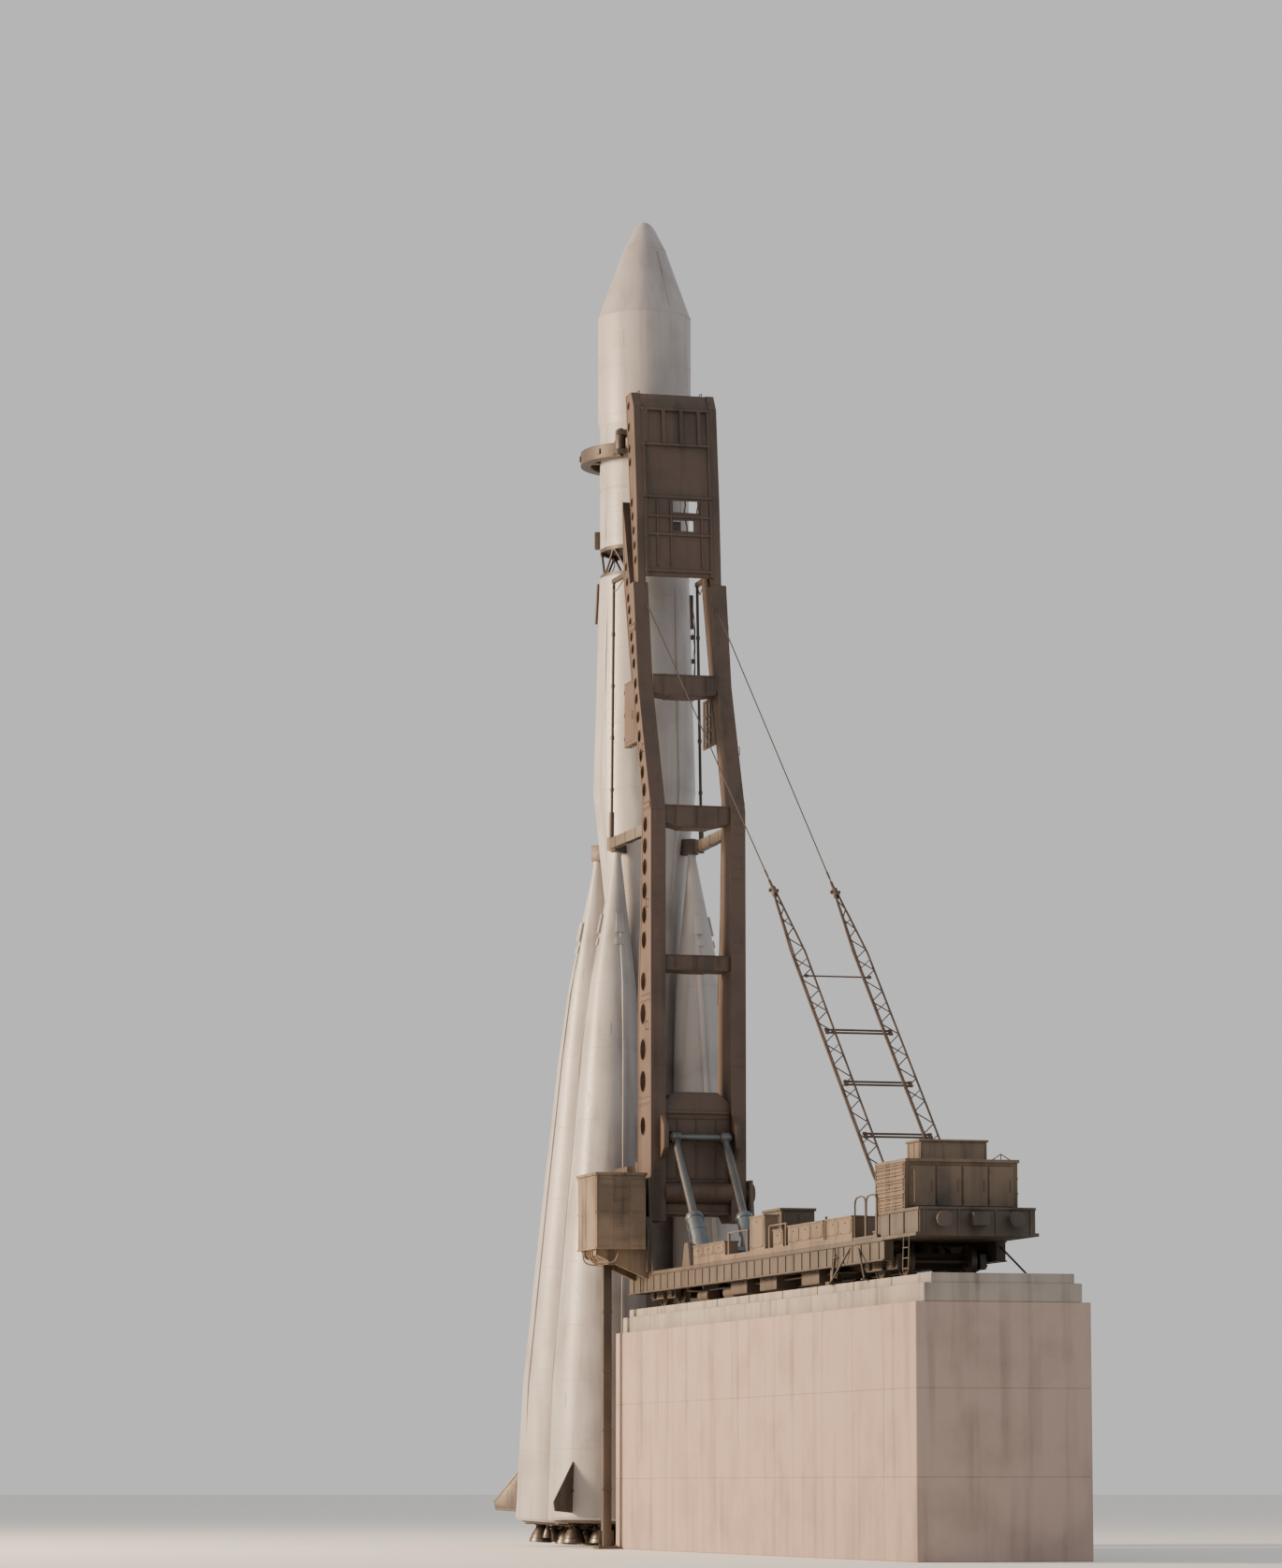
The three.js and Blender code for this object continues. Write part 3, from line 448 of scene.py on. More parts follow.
wheel_steel = weathered("Wheel steel", (0.085, 0.072, 0.062), (0.15, 0.065, 0.030), 0.5, 0.2, 0.45, 0.6)
WHEEL_HALF = [(0.076, 0.70), (0.13, 0.695), (0.14, 0.72), (0.30, 0.745), (0.345, 0.735), (0.36, 0.70),
              (0.43, 0.70), (0.439, 0.71), (0.436, 0.724), (0.415, 0.736), (0.408, 0.846), (0.40, 0.85),
              (0.35, 0.85), (0.335, 0.815), (0.16, 0.80), (0.15, 0.845), (0.085, 0.85), (0.076, 0.852),
              (0.074, 1.08), (0.06, 1.09)]
for number, x in enumerate((5.2, 7.05, 24.9, 26.75), 1):
    body = "wheelset_" + str(number)
    wheels = lathed([(r, -y) for r, y in reversed(WHEEL_HALF)] + WHEEL_HALF, 40, 38)
    moved(wheels, shift(x, 0, 6.945) @ Matrix.Rotation(math.radians(90), 4, "X"))
    dress([wheels], body, body, wheel_steel, body)

# Jacks
# A steel screw with a square foot stands on the plinth on each side and steadies the car.
for side, y in (("right", 1.3), ("left", -1.3)):
    body = "jack_" + side
    parts = [refined(body, 0.006), rod((22.29, y, 7.86), (22.81, y, 7.86), 0.014)]
    parts += [hoop((22.55, y, 7.55 + step * 0.033), 0.068, 0.0075, 20) for step in range(9)]
    dress(parts, body + "_screw", body, wheel_steel, body)

# Lockers along the deck edges
# Folded sheet lockers with hinged lids stand along both edges, between short dark posts, and a
# taller box with a cornice stands between the feet of the rams and the stays.
locker_paint = weathered("Locker paint", (0.150, 0.104, 0.068), (0.050, 0.036, 0.025), 0.55, 0.55, 0.55)
LOCKERS = ((16.0, 17.3, 8.5), (18.1, 18.9, 8.07), (19.4, 22.4, 8.11), (22.7, 24.75, 8.11), (10.6, 13.6, 8.0))
for side, way in (("right", 1), ("left", -1)):
    node = "edge_boxes_" + side
    parts = [refined(node)]
    for x0, x1, top in LOCKERS:
        for a, b in bays(x0, x1, max(1, round(x1 - x0))):
            middle = (a + b) / 2
            parts.append(slab((a + 0.05, way * 1.499, 7.70), (b - 0.05, way * 1.518, top - 0.07), 0.008))
            parts.append(slab((middle - 0.06, way * 1.518, top - 0.16),
                              (middle + 0.06, way * 1.54, top - 0.13)))
            parts += [rod((hinge - 0.05, way * 1.522, 7.73), (hinge + 0.05, way * 1.522, 7.73), 0.012)
                      for hinge in (a + 0.16, b - 0.16)]
        parts.append(slab((x0 - 0.02, way * 1.11, top - 0.03), (x1 + 0.02, way * 1.52, top + 0.012), 0.008))
    for x in (13.95, 15.7, 17.7, 19.15, 22.55):
        parts.append(rib((x - 0.03, x + 0.03), way * 1.47, 0.03, (7.6, 8.2), 0.008))
    for x0, x1 in ((13.95, 15.7), (17.7, 19.15)):
        parts.append(run([(x0, way * 1.47, 8.2), (x1, way * 1.47, 8.2)], 0.018))
    dress(parts, node + "_lockers", "railcar", locker_paint, node)

parts = [refined("deck_box", 0.015), slab((13.26, -0.39, 8.74), (14.94, 0.60, 8.815), 0.012)]
for x in (13.4, 14.15):
    parts.append(slab((x, -0.372, 7.62), (x + 0.62, -0.348, 8.66), 0.008))
    parts.append(slab((x + 0.52, -0.39, 8.1), (x + 0.545, -0.37, 8.3), 0.005))
for y in (-0.26, 0.14):
    parts.append(slab((14.898, y, 7.62), (14.92, y + 0.34, 8.66), 0.008))
dress(parts, "deck_box_locker", "railcar", railcar_brown, "deck_box")

# Rear cabin
# The machinery cabin closes the rear of the deck: a sheet shell with three tiers of louvres on
# each side, double doors at the rear and a lidded box on its roof.
parts = [refined("rear_cabin", 0.012)]
places = []
for z in (8.18, 8.53, 8.88):
    for way, face in ((-1, -1.40), (1, 1.36)):
        slope = Matrix.Rotation(math.radians(-32 * way), 4, "X")
        for x in (26.46, 27.51):
            parts += [rib((x - 0.03, x + 0.99), face, 0.025, (z + low, z + low + 0.03))
                      for low in (-0.06, 0.245)]
            places += [shift(x, face, z + 0.03 + 0.062 * k) @ slope for k in range(4)]
parts += twins(rib((0, 0.96), 0, 0.02, (-0.012, 0.012)), places)
for z in (8.47, 8.82):
    parts += [rib((26.33, 28.6), y, 0.01, (z - 0.02, z + 0.02), 0.005) for y in (-1.41, 1.37)]
for y0, y1 in ((-1.28, -0.66), (-0.62, -0.02), (0.02, 0.62), (0.66, 1.26)):
    parts.append(slab((28.595, y0, 8.16), (28.625, y1, 9.1), 0.01))
    parts.append(slab((28.62, y1 - 0.09, 8.5), (28.65, y1 - 0.06, 8.78)))
    parts += [rod((28.63, y0 + 0.02, z - 0.05), (28.63, y0 + 0.02, z + 0.05), 0.012) for z in (8.28, 8.98)]
for x in (26.36, 27.1, 27.85, 28.57):
    parts += [rib((x - 0.02, x + 0.02), y, 0.012, (8.1, 9.18), 0.005) for y in (-1.398, 1.358)]
parts.append(slab((27.06, -0.90, 9.69), (28.14, 0.82, 9.745), 0.012))
parts.append(slab((27.04, -0.92, 9.245), (28.16, 0.84, 9.29), 0.012))
parts += [slab((28.098, y, 9.3), (28.115, y + 0.04, 9.69), 0.004) for y in (-0.86, -0.3, 0.24, 0.74)]
parts += [slab((x, -0.875, 9.3), (x + 0.04, -0.858, 9.69), 0.004) for x in (27.2, 27.62, 28.0)]
peak = (28.12, 1.12, 9.42)
parts.append(rod((28.12, 0.86, 9.25), peak, 0.013))
parts += [rod(peak, foot, 0.013) for foot in ((28.3, 1.32, 9.25), (28.12, 1.12, 9.25))]
parts.append(run([(28.66, -1.2, 8.2), (28.72, -1.2, 8.25), (28.72, -1.2, 8.95), (28.66, -1.2, 9.0)], 0.013))
dress(parts, "rear_cabin_shell", "railcar", locker_paint, "rear_cabin")

# Hoop rails
# Two hoops of bent tube stand at the left edge of the deck, welded to one base strip.


def tube(points, radius):
    """A tube bent smoothly through points: a curve with a round section, made a mesh."""
    bpy.ops.curve.primitive_bezier_curve_add()
    only(bpy.context.object)
    line = bpy.context.object.data
    line.splines.clear()
    made = line.splines.new("NURBS")
    made.points.add(len(points) - 1)
    for point, at in zip(made.points, points):
        point.co = (*at, 1.0)
    made.use_endpoint_u = True
    made.order_u = 3
    line.bevel_depth = radius
    line.bevel_resolution = 2
    line.resolution_u = 6
    line.use_fill_caps = True
    bpy.ops.object.convert(target="MESH")
    return settle(smoothed(bpy.context.object, 60), "tube")


HOOP_LINE = ((0, 7.56), (0, 8.0), (0, 8.25), (0.02, 8.5), (0.42, 8.545), (0.82, 8.5), (0.84, 8.25),
             (0.84, 8.0), (0.84, 7.56))
parts = [rib((24.8, 26.7), -1.46, 0.03, (7.5003, 7.575))]
for x in (24.88, 25.78):
    parts.append(tube([(x + dx, -1.46, z) for dx, z in HOOP_LINE], 0.024))
    parts += [rod((foot, -1.46, 7.57), (foot, -1.46, 7.60), 0.045, 12, 0.028) for foot in (x, x + 0.84)]
dress(parts, "hoop_rails_tube", "railcar", railcar_brown, "hoop_rails")

# Front cabinet
# A tall sheet cabinet clad in upright strips hangs beside the foot of the boom. Two gussets and
# a post carry it, hoses drop from its floor, and battens cross the panels of its end.
cabinet_paint = weathered("Cabinet paint", (0.20, 0.145, 0.098), (0.055, 0.038, 0.025), 0.6, 0.8, 0.55)
parts = [refined("front_cabinet")]
places = [shift(4.37 + 0.172 * k, -3.052) for k in range(11)]
parts += twins(rib((0, 0.15), 0, 0.012, (8.14, 10.08)), places)
parts += [rib((4.3, 6.3), -3.06, 0.015, (z - 0.03, z + 0.03), 0.008) for z in (8.13, 9.1, 10.06)]
parts.append(slab((4.24, -3.10, 10.11), (6.36, -1.62, 10.19), 0.015))
for y0, y1 in ((-3.0, -2.56), (-2.1, -1.7)):
    parts.append(slab((6.295, y0, 8.2), (6.318, y1, 10.0), 0.008))
    parts += [slab((6.31, y0 + 0.04, z), (6.335, y1 - 0.04, z + 0.03), 0.004) for z in (8.4, 9.1, 9.8)]
parts += [rib((6.29, 6.325), y, 0.025, (8.1, 10.12)) for y in (-3.02, -1.68)]
for k in range(7):
    x, drop = 4.6 + 0.24 * k, 7.75 + 0.12 * (k % 3)
    parts.append(tube([(x, -2.98, 8.12), (x, -3.0, 7.9), (x + 0.05, -2.9, drop),
                       (x + 0.16, -2.7, drop - 0.04), (x + 0.2, -2.45, 7.78), (x + 0.2, -2.42, 8.0)], 0.022))
parts += [slab((x - 0.13, -3.0, 8.06), (x + 0.13, -1.52, 8.1)) for x in (4.6, 5.9)]
dress(parts, "front_cabinet_shell", "railcar", cabinet_paint, "front_cabinet")

parts = [refined("cabinet_post")]
parts += [rib((5.165, 5.435), -2.5, 0.135, (z, z + 0.05), 0.008) for z in (1.6, 3.2, 4.8, 6.4)]
spots = [(5.3 + dx, -2.5 + dy, 0.095) for dx in (-0.22, 0.22) for dy in (-0.22, 0.22)]
parts.append(bolts(spots, (0, 0, 1), 0.032, 0.035))
parts += [rib((5.292, 5.308), -2.5 + way * 0.12, 0.09, (0.08, 0.5), 0.003) for way in (-1, 1)]
dress(parts, "cabinet_post_box", "railcar", railcar_brown, "cabinet_post")

# Boom girders
# Two tapering box girders of welded plate form the boom, with flanged round holes in their outer
# webs, strips along the edges and bolted splices. They turn on the railcar's pedestals.


def plate(rows, axis, low, high, edge=0.0):
    """A flat outline pulled from low to high: rows are (x, z) for y, (y, z) for x and (x, y) for z."""
    low, high = sorted((low, high))
    bpy.ops.mesh.primitive_circle_add(vertices=len(rows), radius=1, fill_type="NGON")
    obj = bpy.context.object
    for vertex, (u, v) in zip(obj.data.vertices, rows):
        vertex.co = {"x": (low, u, v), "y": (u, low, v), "z": (u, v, low)}[axis]
    pull = {"x": (high - low, 0, 0), "y": (0, high - low, 0), "z": (0, 0, high - low)}[axis]
    bpy.ops.object.mode_set(mode="EDIT")
    bpy.ops.mesh.select_all(action="SELECT")
    bpy.ops.mesh.extrude_region_move(TRANSFORM_OT_translate={"value": pull})
    bpy.ops.mesh.select_all(action="SELECT")
    bpy.ops.mesh.normals_make_consistent(inside=False)
    bpy.ops.object.mode_set(mode="OBJECT")
    settle(obj, "plate")
    return bevelled(obj, edge) if edge else obj


def carved(obj, tools):
    """A piece with the tools cut out of it."""
    tool = together(tools, "tool")
    applied(obj, "BOOLEAN", operation="DIFFERENCE", solver="EXACT", object=tool)
    bpy.data.objects.remove(tool)
    return obj


def edged(corners, deep, low, high):
    """Flat bars along a line of corners in the side view, each laid on its left by its depth."""
    bars = []
    for (ax, az), (bx, bz) in zip(corners, corners[1:]):
        long = math.hypot(bx - ax, bz - az)
        nx, nz = -(bz - az) / long * deep, (bx - ax) / long * deep
        rows = [(ax, az), (bx, bz), (bx + nx, bz + nz), (ax + nx, az + nz)]
        bars.append(plate(rows, "y", low, high, 0.004))
    return bars


def drilled(rows, holes, way, near, bite, far, *more):
    """A web of plate with blind round holes (x, z, diameter) cut from its outer face, and rolled rims."""
    bores = [rod((x, way * bite, z), (x, way * (far + 0.1), z), wide / 2, 28) for x, z, wide in holes]
    web = carved(plate(rows, "y", way * near, way * far), [*bores, *more])
    rims = [hoop((x, way * far, z), wide / 2 + 0.012, 0.014, 28, True, True) for x, z, wide in holes]
    return [bevelled(web, 0.008), *rims]


erector_brown = weathered("Erector paint", (0.090, 0.058, 0.042), (0.034, 0.023, 0.018), 0.45, 0.5, 0.6)
GIRDER_FRONT = [(2.64, 29.5), (2.86, 27.0), (3.70, 24.1), (4.46, 21.9), (4.84, 20.7), (4.66, 17.4),
                (4.38, 15.0), (4.38, 9.1)]
GIRDER_BACK = [(5.75, 8.9), (5.75, 20.3), (5.08, 22.1), (4.38, 24.0), (3.85, 27.0)]
GIRDER_ROWS = [*GIRDER_FRONT, (4.70, 8.9), *GIRDER_BACK, (3.44, 27.0)]
WEB_HOLES = [(3.04, 27.55, 0.23), (3.16, 27.10, 0.24), (3.28, 26.62, 0.25), (3.40, 26.26, 0.26),
             (3.51, 25.88, 0.27), (3.64, 25.46, 0.28), (3.77, 25.08, 0.28), (3.90, 24.65, 0.29),
             (4.08, 24.06, 0.30), (4.19, 23.60, 0.30), (4.35, 23.06, 0.32), (4.50, 22.50, 0.34),
             (4.66, 21.94, 0.36), (4.83, 21.44, 0.37), (5.02, 20.92, 0.38), (5.14, 19.94, 0.42),
             (5.10, 19.34, 0.44), (5.08, 18.75, 0.45), (5.06, 18.09, 0.46), (5.03, 17.42, 0.47),
             (5.00, 16.72, 0.47), (4.93, 15.57, 0.50), (4.90, 14.67, 0.56), (4.89, 13.68, 0.58),
             (4.89, 12.80, 0.58), (4.89, 11.56, 0.50)]
CHEEK_ROWS = [(5.60, 10.5), (6.15, 10.9), (6.15, 11.5), (5.60, 12.0)]
for side, way in (("right", 1), ("left", -1)):
    outer = way * 1.35
    pivot = rod((5.6, way * 1.0, 9.7), (5.6, way * 1.45, 9.7), 0.1403, 36)
    parts = drilled(GIRDER_ROWS, WEB_HOLES, way, 0.95, 1.12, 1.35, pivot)
    parts.append(plate(CHEEK_ROWS, "y", way * 0.95, way * 1.1, 0.01))
    low, high = sorted((outer, outer + way * 0.014))
    parts += edged(GIRDER_FRONT, 0.07, low, high) + edged(GIRDER_BACK, 0.07, low, high)
    # Flanges along the rear edge and the front edge, wider than the webs
    parts += edged(GIRDER_BACK[::-1], 0.016, way * 0.935, way * 1.365)
    parts += edged(GIRDER_FRONT[-2::-1], 0.014, way * 0.935, way * 1.365)
    # Bolted splices
    for x0, x1, z in ((4.72, 5.70, 15.1), (4.88, 5.70, 20.45), (3.42, 4.10, 25.7), (4.42, 5.70, 12.25)):
        parts.append(slab((x0, low, z - 0.13), (x1, high + 0.004, z + 0.13)))
        spots = [(x0 + 0.07 + (x1 - x0 - 0.14) * k / 5, outer + way * 0.018, z + dz)
                 for k in range(6) for dz in (-0.08, 0.08)]
        parts.append(bolts(spots, (0, way, 0), 0.02, 0.026))
    for z in (10.3, 13.2, 16.35, 18.4, 19.65):
        y = way * 1.15
        parts.append(rib((5.745, 5.775), y, 0.17, (z - 0.02, z + 0.02)))
        parts.append(slab((5.745, y - 0.12, z + 0.25), (5.77, y + 0.12, z + 0.65), 0.02, 2))
        spots = [(5.775, y + dy, z + dz) for dy in (-0.095, 0.095) for dz in (0.29, 0.61)]
        parts.append(bolts(spots, (1, 0, 0), 0.014, 0.02))
    for x, z in ((5.45, 17.6), (5.42, 14.2), (5.0, 22.0)):
        grip = outer + way * 0.07
        parts.append(run([(x, outer, z), (x, grip, z), (x, grip, z + 0.22), (x, outer, z + 0.22)], 0.012))
    dress(parts, "girder_" + side + "_welded", "boom", erector_brown, "girder_" + side)

# Boom head
# The closed head of the boom is welded on top of the girders. Two side plates with round holes
# stand either side of a ribbed back panel with slots, and carry the seat of the clamp.
HEAD_FRONT = [(2.47, 32.6), (2.95, 29.5), (3.45, 27.0003)]
HEAD_BACK = [(3.85, 27.0003), (3.66, 29.5), (3.35, 32.15), (3.06, 32.6)]
HEAD_HOLES = [(2.77, 32.27, 0.23), (2.81, 31.65, 0.24), (2.88, 31.00, 0.24), (2.94, 30.60, 0.24),
              (3.13, 29.40, 0.24), (3.23, 28.98, 0.24), (3.34, 28.56, 0.24), (3.44, 28.12, 0.23),
              (3.55, 27.68, 0.22)]
PANEL_REAR = [(3.835, 27.2), (3.655, 29.5), (3.345, 32.15), (3.055, 32.6)]
PANEL_ROWS = [(3.0, 32.6), (3.29, 32.15), (3.60, 29.5), (3.78, 27.2), *PANEL_REAR]
parts = []
for way in (-1, 1):
    parts += drilled(HEAD_FRONT + HEAD_BACK, HEAD_HOLES, way, 1.0, 1.1, 1.21)
    for corners in (HEAD_FRONT, HEAD_BACK):
        parts += edged(corners, 0.055, way * 1.21, way * 1.222)
    parts += edged(HEAD_BACK[::-1], 0.014, way * 0.99, way * 1.222)
    parts.append(slab((2.47, way * 0.99, 32.585), (3.06, way * 1.222, 32.615)))
slots = [block((3.4, -0.15, 29.08), (4.5, 0.60, 29.42)), block((3.4, -0.15, 28.54), (4.5, 0.45, 28.85))]
parts.append(bevelled(carved(plate(PANEL_ROWS, "y", -1.01, 1.01), slots), 0.006))


def width_at(rows, z):
    """How far out a line of (out, z) corners stands at a height."""
    return next(a + (b - a) * (z - za) / (zb - za)
                for (a, za), (b, zb) in zip(rows, rows[1:]) if za <= z <= zb)


# Upright ribs that follow the slope of the panel, and flat ones across it
for ys, z0, z1, half, proud in (((-0.88, -0.36, 0.16, 0.68), 31.1, 32.1, 0.055, 0.06),
                                ((-0.95, 0.95), 27.2, 29.45, 0.04, 0.05),
                                ((-0.95, 0.95), 29.55, 32.1, 0.04, 0.05),
                                ((-0.62, -0.22, 0.68), 27.5, 29.42, 0.025, 0.05)):
    x0, x1 = width_at(PANEL_REAR, z0), width_at(PANEL_REAR, z1)
    rows = [(x0 - 0.01, z0), (x1 - 0.01, z1), (x1 + proud, z1), (x0 + proud, z0)]
    parts += [plate(rows, "y", y - half, y + half, 0.006) for y in ys]
for z, deep in ((32.10, 0.07), (31.06, 0.07), (29.52, 0.05), (28.95, 0.05), (28.42, 0.05), (27.36, 0.06)):
    x = width_at(PANEL_REAR, z)
    parts.append(rib((x - 0.02, x + deep), 0, 1.0, (z - 0.035, z + 0.035), 0.008))
parts.append(plate([(2.9, 30.8), (3.465, 30.8), (3.36, 31.7), (2.9, 31.7)], "y", -1.01, 1.01, 0.012))
for xs, zs in (((2.51, 3.05), (32.50, 32.59)), ((3.25, 3.60), (29.52, 29.66)),
               ((3.48, 3.76), (27.24, 27.42))):
    parts.append(rib(xs, 0, 1.01, zs, 0.008))
for y in (-0.92, 0.92):
    parts.append(run([(2.62, y, 32.6), (2.62, y, 32.72), (2.86, y, 32.72), (2.86, y, 32.6)], 0.016))
for y in (0.25, 0.62):
    parts.append(tube([(3.52, y, 29.42), (3.60, y, 29.3), (3.62, y - 0.06, 29.15), (3.56, y, 28.9),
                       (3.62, y + 0.05, 28.6), (3.66, y, 28.4)], 0.02))
parts.append(slab((3.42, -0.13, 28.56), (3.50, 0.12, 28.84), 0.01))
dress(parts, "boom_head_welded", "boom", erector_brown, "boom_head")

# Cross beams and boom foot
# Three box beams and the closed foot tie the girders together; the foot wraps the pivot tube.
for node, x0, x1, low, high, end in (("cross_beam_upper", 3.66, 4.40, 23.70, 24.30, 23.76),
                                     ("cross_beam_middle", 4.90, 5.65, 19.83, 20.44, 19.95),
                                     ("cross_beam_lower", 4.70, 5.65, 15.84, 16.26, 15.84)):
    rows = [(-0.9497, high), (-0.9497, end), (-0.45, low), (0.45, low), (0.9497, end), (0.9497, high)]
    parts = [plate(rows, "x", x0, x1, 0.012)]
    parts.append(rib((x0 - 0.03, x1 + 0.03), 0, 0.947, (high - 0.018, high + 0.012)))
    parts.append(rib((x0 - 0.03, x1 + 0.03), 0, 0.45, (low - 0.014, low + 0.012)))
    for y in (-0.62, 0.0, 0.62):
        parts.append(rib((x1 - 0.01, x1 + 0.026), y, 0.012, (low + 0.08, high - 0.02), 0.004))
    for y in (-0.88, 0.88):
        spots = [(x1 + 0.008, y, high - 0.08 - 0.1 * k) for k in range(4)]
        parts.append(bolts(spots, (1, 0, 0), 0.018, 0.022))
    dress(parts, node + "_box", "boom", erector_brown, node)
parts = [refined("boom_foot"), rod((5.54, -0.948, 9.7), (5.54, 0.948, 9.7), 0.301, 40)]
parts += [hoop((5.54, y, 9.7), 0.302, 0.018, 40, False, True, 8) for y in (-0.5, 0.5)]
parts += [rib((5.528, 5.558), y, 0.012, (10.1, 11.8), 0.004) for y in (-0.55, 0.0, 0.55)]
parts += [rib((5.528, 5.565), 0, 0.94, (z - 0.012, z + 0.012), 0.004) for z in (10.1, 11.75)]
dress(parts, "boom_foot_box", "boom", erector_brown, "boom_foot")

# Side box and open panel
# A closed locker and an open mesh panel stand at the front edges of the two girders.
parts = [refined("side_box"), slab((2.93, -1.368, 22.5), (3.95, -1.348, 24.1), 0.01)]
parts += [rod((2.93, -1.372, z - 0.06), (2.93, -1.372, z + 0.06), 0.016) for z in (22.62, 23.3, 23.95)]
parts.append(run([(3.86, -1.36, 23.1), (3.86, -1.40, 23.1), (3.86, -1.40, 23.3), (3.86, -1.36, 23.3)], 0.01))
parts += [slab((2.84, -1.365, z - 0.012), (3.68, -1.14, z + 0.012), 0.005) for z in (22.40, 24.2)]
dress(parts, "side_box_locker", "boom", erector_brown, "side_box")
parts = [refined("open_panel", 0.008)]
for x0, x1 in ((2.93, 3.22), (3.28, 3.57), (3.63, 3.76)):
    for z in (22.66, 23.10, 23.54):
        for middle in ((x0 + x1) / 2 + 0.06 * k for k in range(-5, 6)):
            for lean in (-1, 1):
                a, b = (max(x0, min(x1, middle + reach)) for reach in (-lean * 0.18, lean * 0.18))
                if abs(b - a) > 0.02:
                    parts.append(rod((a, 0.975, z + (a - middle) * lean), (b, 0.975, z + (b - middle) * lean),
                                     0.005, 5))
dress(parts, "open_panel_mesh", "boom", erector_brown, "open_panel")

# Tilt rams
# A pair of long hydraulic cylinders lifts the boom. The barrels share a trunnion in the deck, and
# the dark steel rods share a crosshead that pushes on the boom's foot.
# The barrels' grey steel carries a blue tint that is a painted reflection of the sky, not a paint of their
# own.
ram_steel_sky_tint = weathered("Ram steel", (0.105, 0.128, 0.150), (0.045, 0.045, 0.048), 0.5, 0.5, 0.36, 0.35)
rod_steel = weathered("Ram rod steel", (0.115, 0.118, 0.122), (0.050, 0.045, 0.042), 0.35, 0.35, 0.34, 0.7,
                      0.05)
RAM_FOOT, RAM_EYE = Vector((8.6, 0.0, 8.0)), Vector((5.9, 0.0, 11.2))
RAM_LONG = (RAM_EYE - RAM_FOOT).length
RAM_WAY = (RAM_EYE - RAM_FOOT).normalized()


def aimed(obj, start, end):
    """A piece drawn up the Z axis from its origin, laid from start towards end."""
    way = end - start
    return moved(obj, shift(*start) @ way.to_track_quat("Z", "Y").to_matrix().to_4x4())


def along_ram(far, y):
    """A point on a ram's axis, by its distance from the trunnion."""
    return RAM_FOOT + RAM_WAY * far + Vector((0, y, 0))


BARREL_ROWS = [(0.15, -1.40), (0.215, -1.385), (0.22, -1.36), (0.22, -1.12), (0.236, -1.11), (0.236, -1.02),
               (0.22, -1.01), (0.22, -0.30), (0.236, -0.29), (0.236, 0.29), (0.22, 0.30), (0.22, 0.62),
               (0.232, 0.63), (0.232, 0.70), (0.22, 0.71), (0.22, 1.07), (0.24, 1.08), (0.245, 1.10),
               (0.245, 1.22), (0.235, 1.24), (0.16, 1.245), (0.1215, 1.225), (0.1215, -1.33)]
ROD_ROWS = [(0.10, 0.85), (0.1195, 0.87), (0.1195, RAM_LONG - 0.20), (0.14, RAM_LONG - 0.19),
            (0.14, RAM_LONG - 0.06)]
barrels = [rod((8.6, a, 8.0), (8.6, b, 8.0), 0.10, 30) for a, b in ((-1.15, -0.9), (-0.5, 0.5), (0.9, 1.15))]
pistons = [rod((5.9, -0.88, 11.2), (5.9, 0.88, 11.2), 0.11, 32)]
for way in (-1, 1):
    y, side = way * 0.70, way * 0.24
    foot, eye = along_ram(0, y), along_ram(RAM_LONG, y)
    barrels.append(aimed(lathed(BARREL_ROWS, 40, 35), foot, eye))
    ring = [along_ram(1.246, y) + Vector((0.764 * s, c, 0.645 * s)) * 0.2 for c, s in circle(12)]
    barrels.append(bolts(ring, RAM_WAY, 0.017, 0.02))
    for a, b in ((-1.05, 0.96), (-0.98, 0.66)):
        pipe = ((a, 0.85), (a + 0.04, 1.06), (b - 0.04, 1.06), (b, 0.85))
        barrels.append(run([along_ram(far, y + side * out) for far, out in pipe], 0.016))
    for far in (-0.7, 0.1, 0.5):
        at, half = along_ram(far, y + side), Vector((0.03, 0.03, 0.03))
        barrels.append(slab(at - half, at + half))
    pistons.append(aimed(lathed(ROD_ROWS, 40, 35), foot, eye))
    pistons.append(bevelled(rod((5.9, y - 0.13, 11.2), (5.9, y + 0.13, 11.2), 0.175, 36), 0.012, 2))
    pistons += [rod((5.9, y + near, 11.2), (5.9, y + far, 11.2), 0.145, 28)
                for near, far in ((-0.13, -0.148), (0.13, 0.148))]
dress(barrels, "ram_barrels_turned", "ram_barrels", ram_steel_sky_tint, "ram_barrels")
dress(pistons, "ram_rods_turned", "ram_rods", rod_steel, "ram_rods")

# Stay frame and cables
# Two slender lattice struts of three chords stand on the deck, tied by double cross bars. A cable
# runs from the tip of each to the boom's rear edge and holds the boom upright.
cable_steel = weathered("Cable steel", (0.050, 0.040, 0.034), (0.03, 0.024, 0.02), 0.3, 0.2, 0.55, 0.3)
STAY_FOOT, STAY_TIP, STAY_Y = Vector((26.0, 0.0, 8.0)), Vector((15.87, 0.0, 17.0)), 0.83
STAY_LONG = (STAY_TIP - STAY_FOOT).length
STAY_WAY = (STAY_TIP - STAY_FOOT).normalized()
STAY_UP = Vector((STAY_WAY.z, 0, -STAY_WAY.x))
STAY_BAYS = 28


def on_stay(far, y, up=0.0):
    """A point beside a strut's axis, by its distance from the foot and its height over the axis."""
    return STAY_FOOT + STAY_WAY * far + STAY_UP * up + Vector((0, y, 0))


def chords(far, y):
    """The three corners of the lattice at a distance from the foot."""
    half = 0.19 * min(1.0, 0.2 + far / 1.8, 0.15 + (STAY_LONG - far) / 3.4)
    return [on_stay(far, y - half, half * 0.5), on_stay(far, y + half, half * 0.5), on_stay(far, y, -half)]


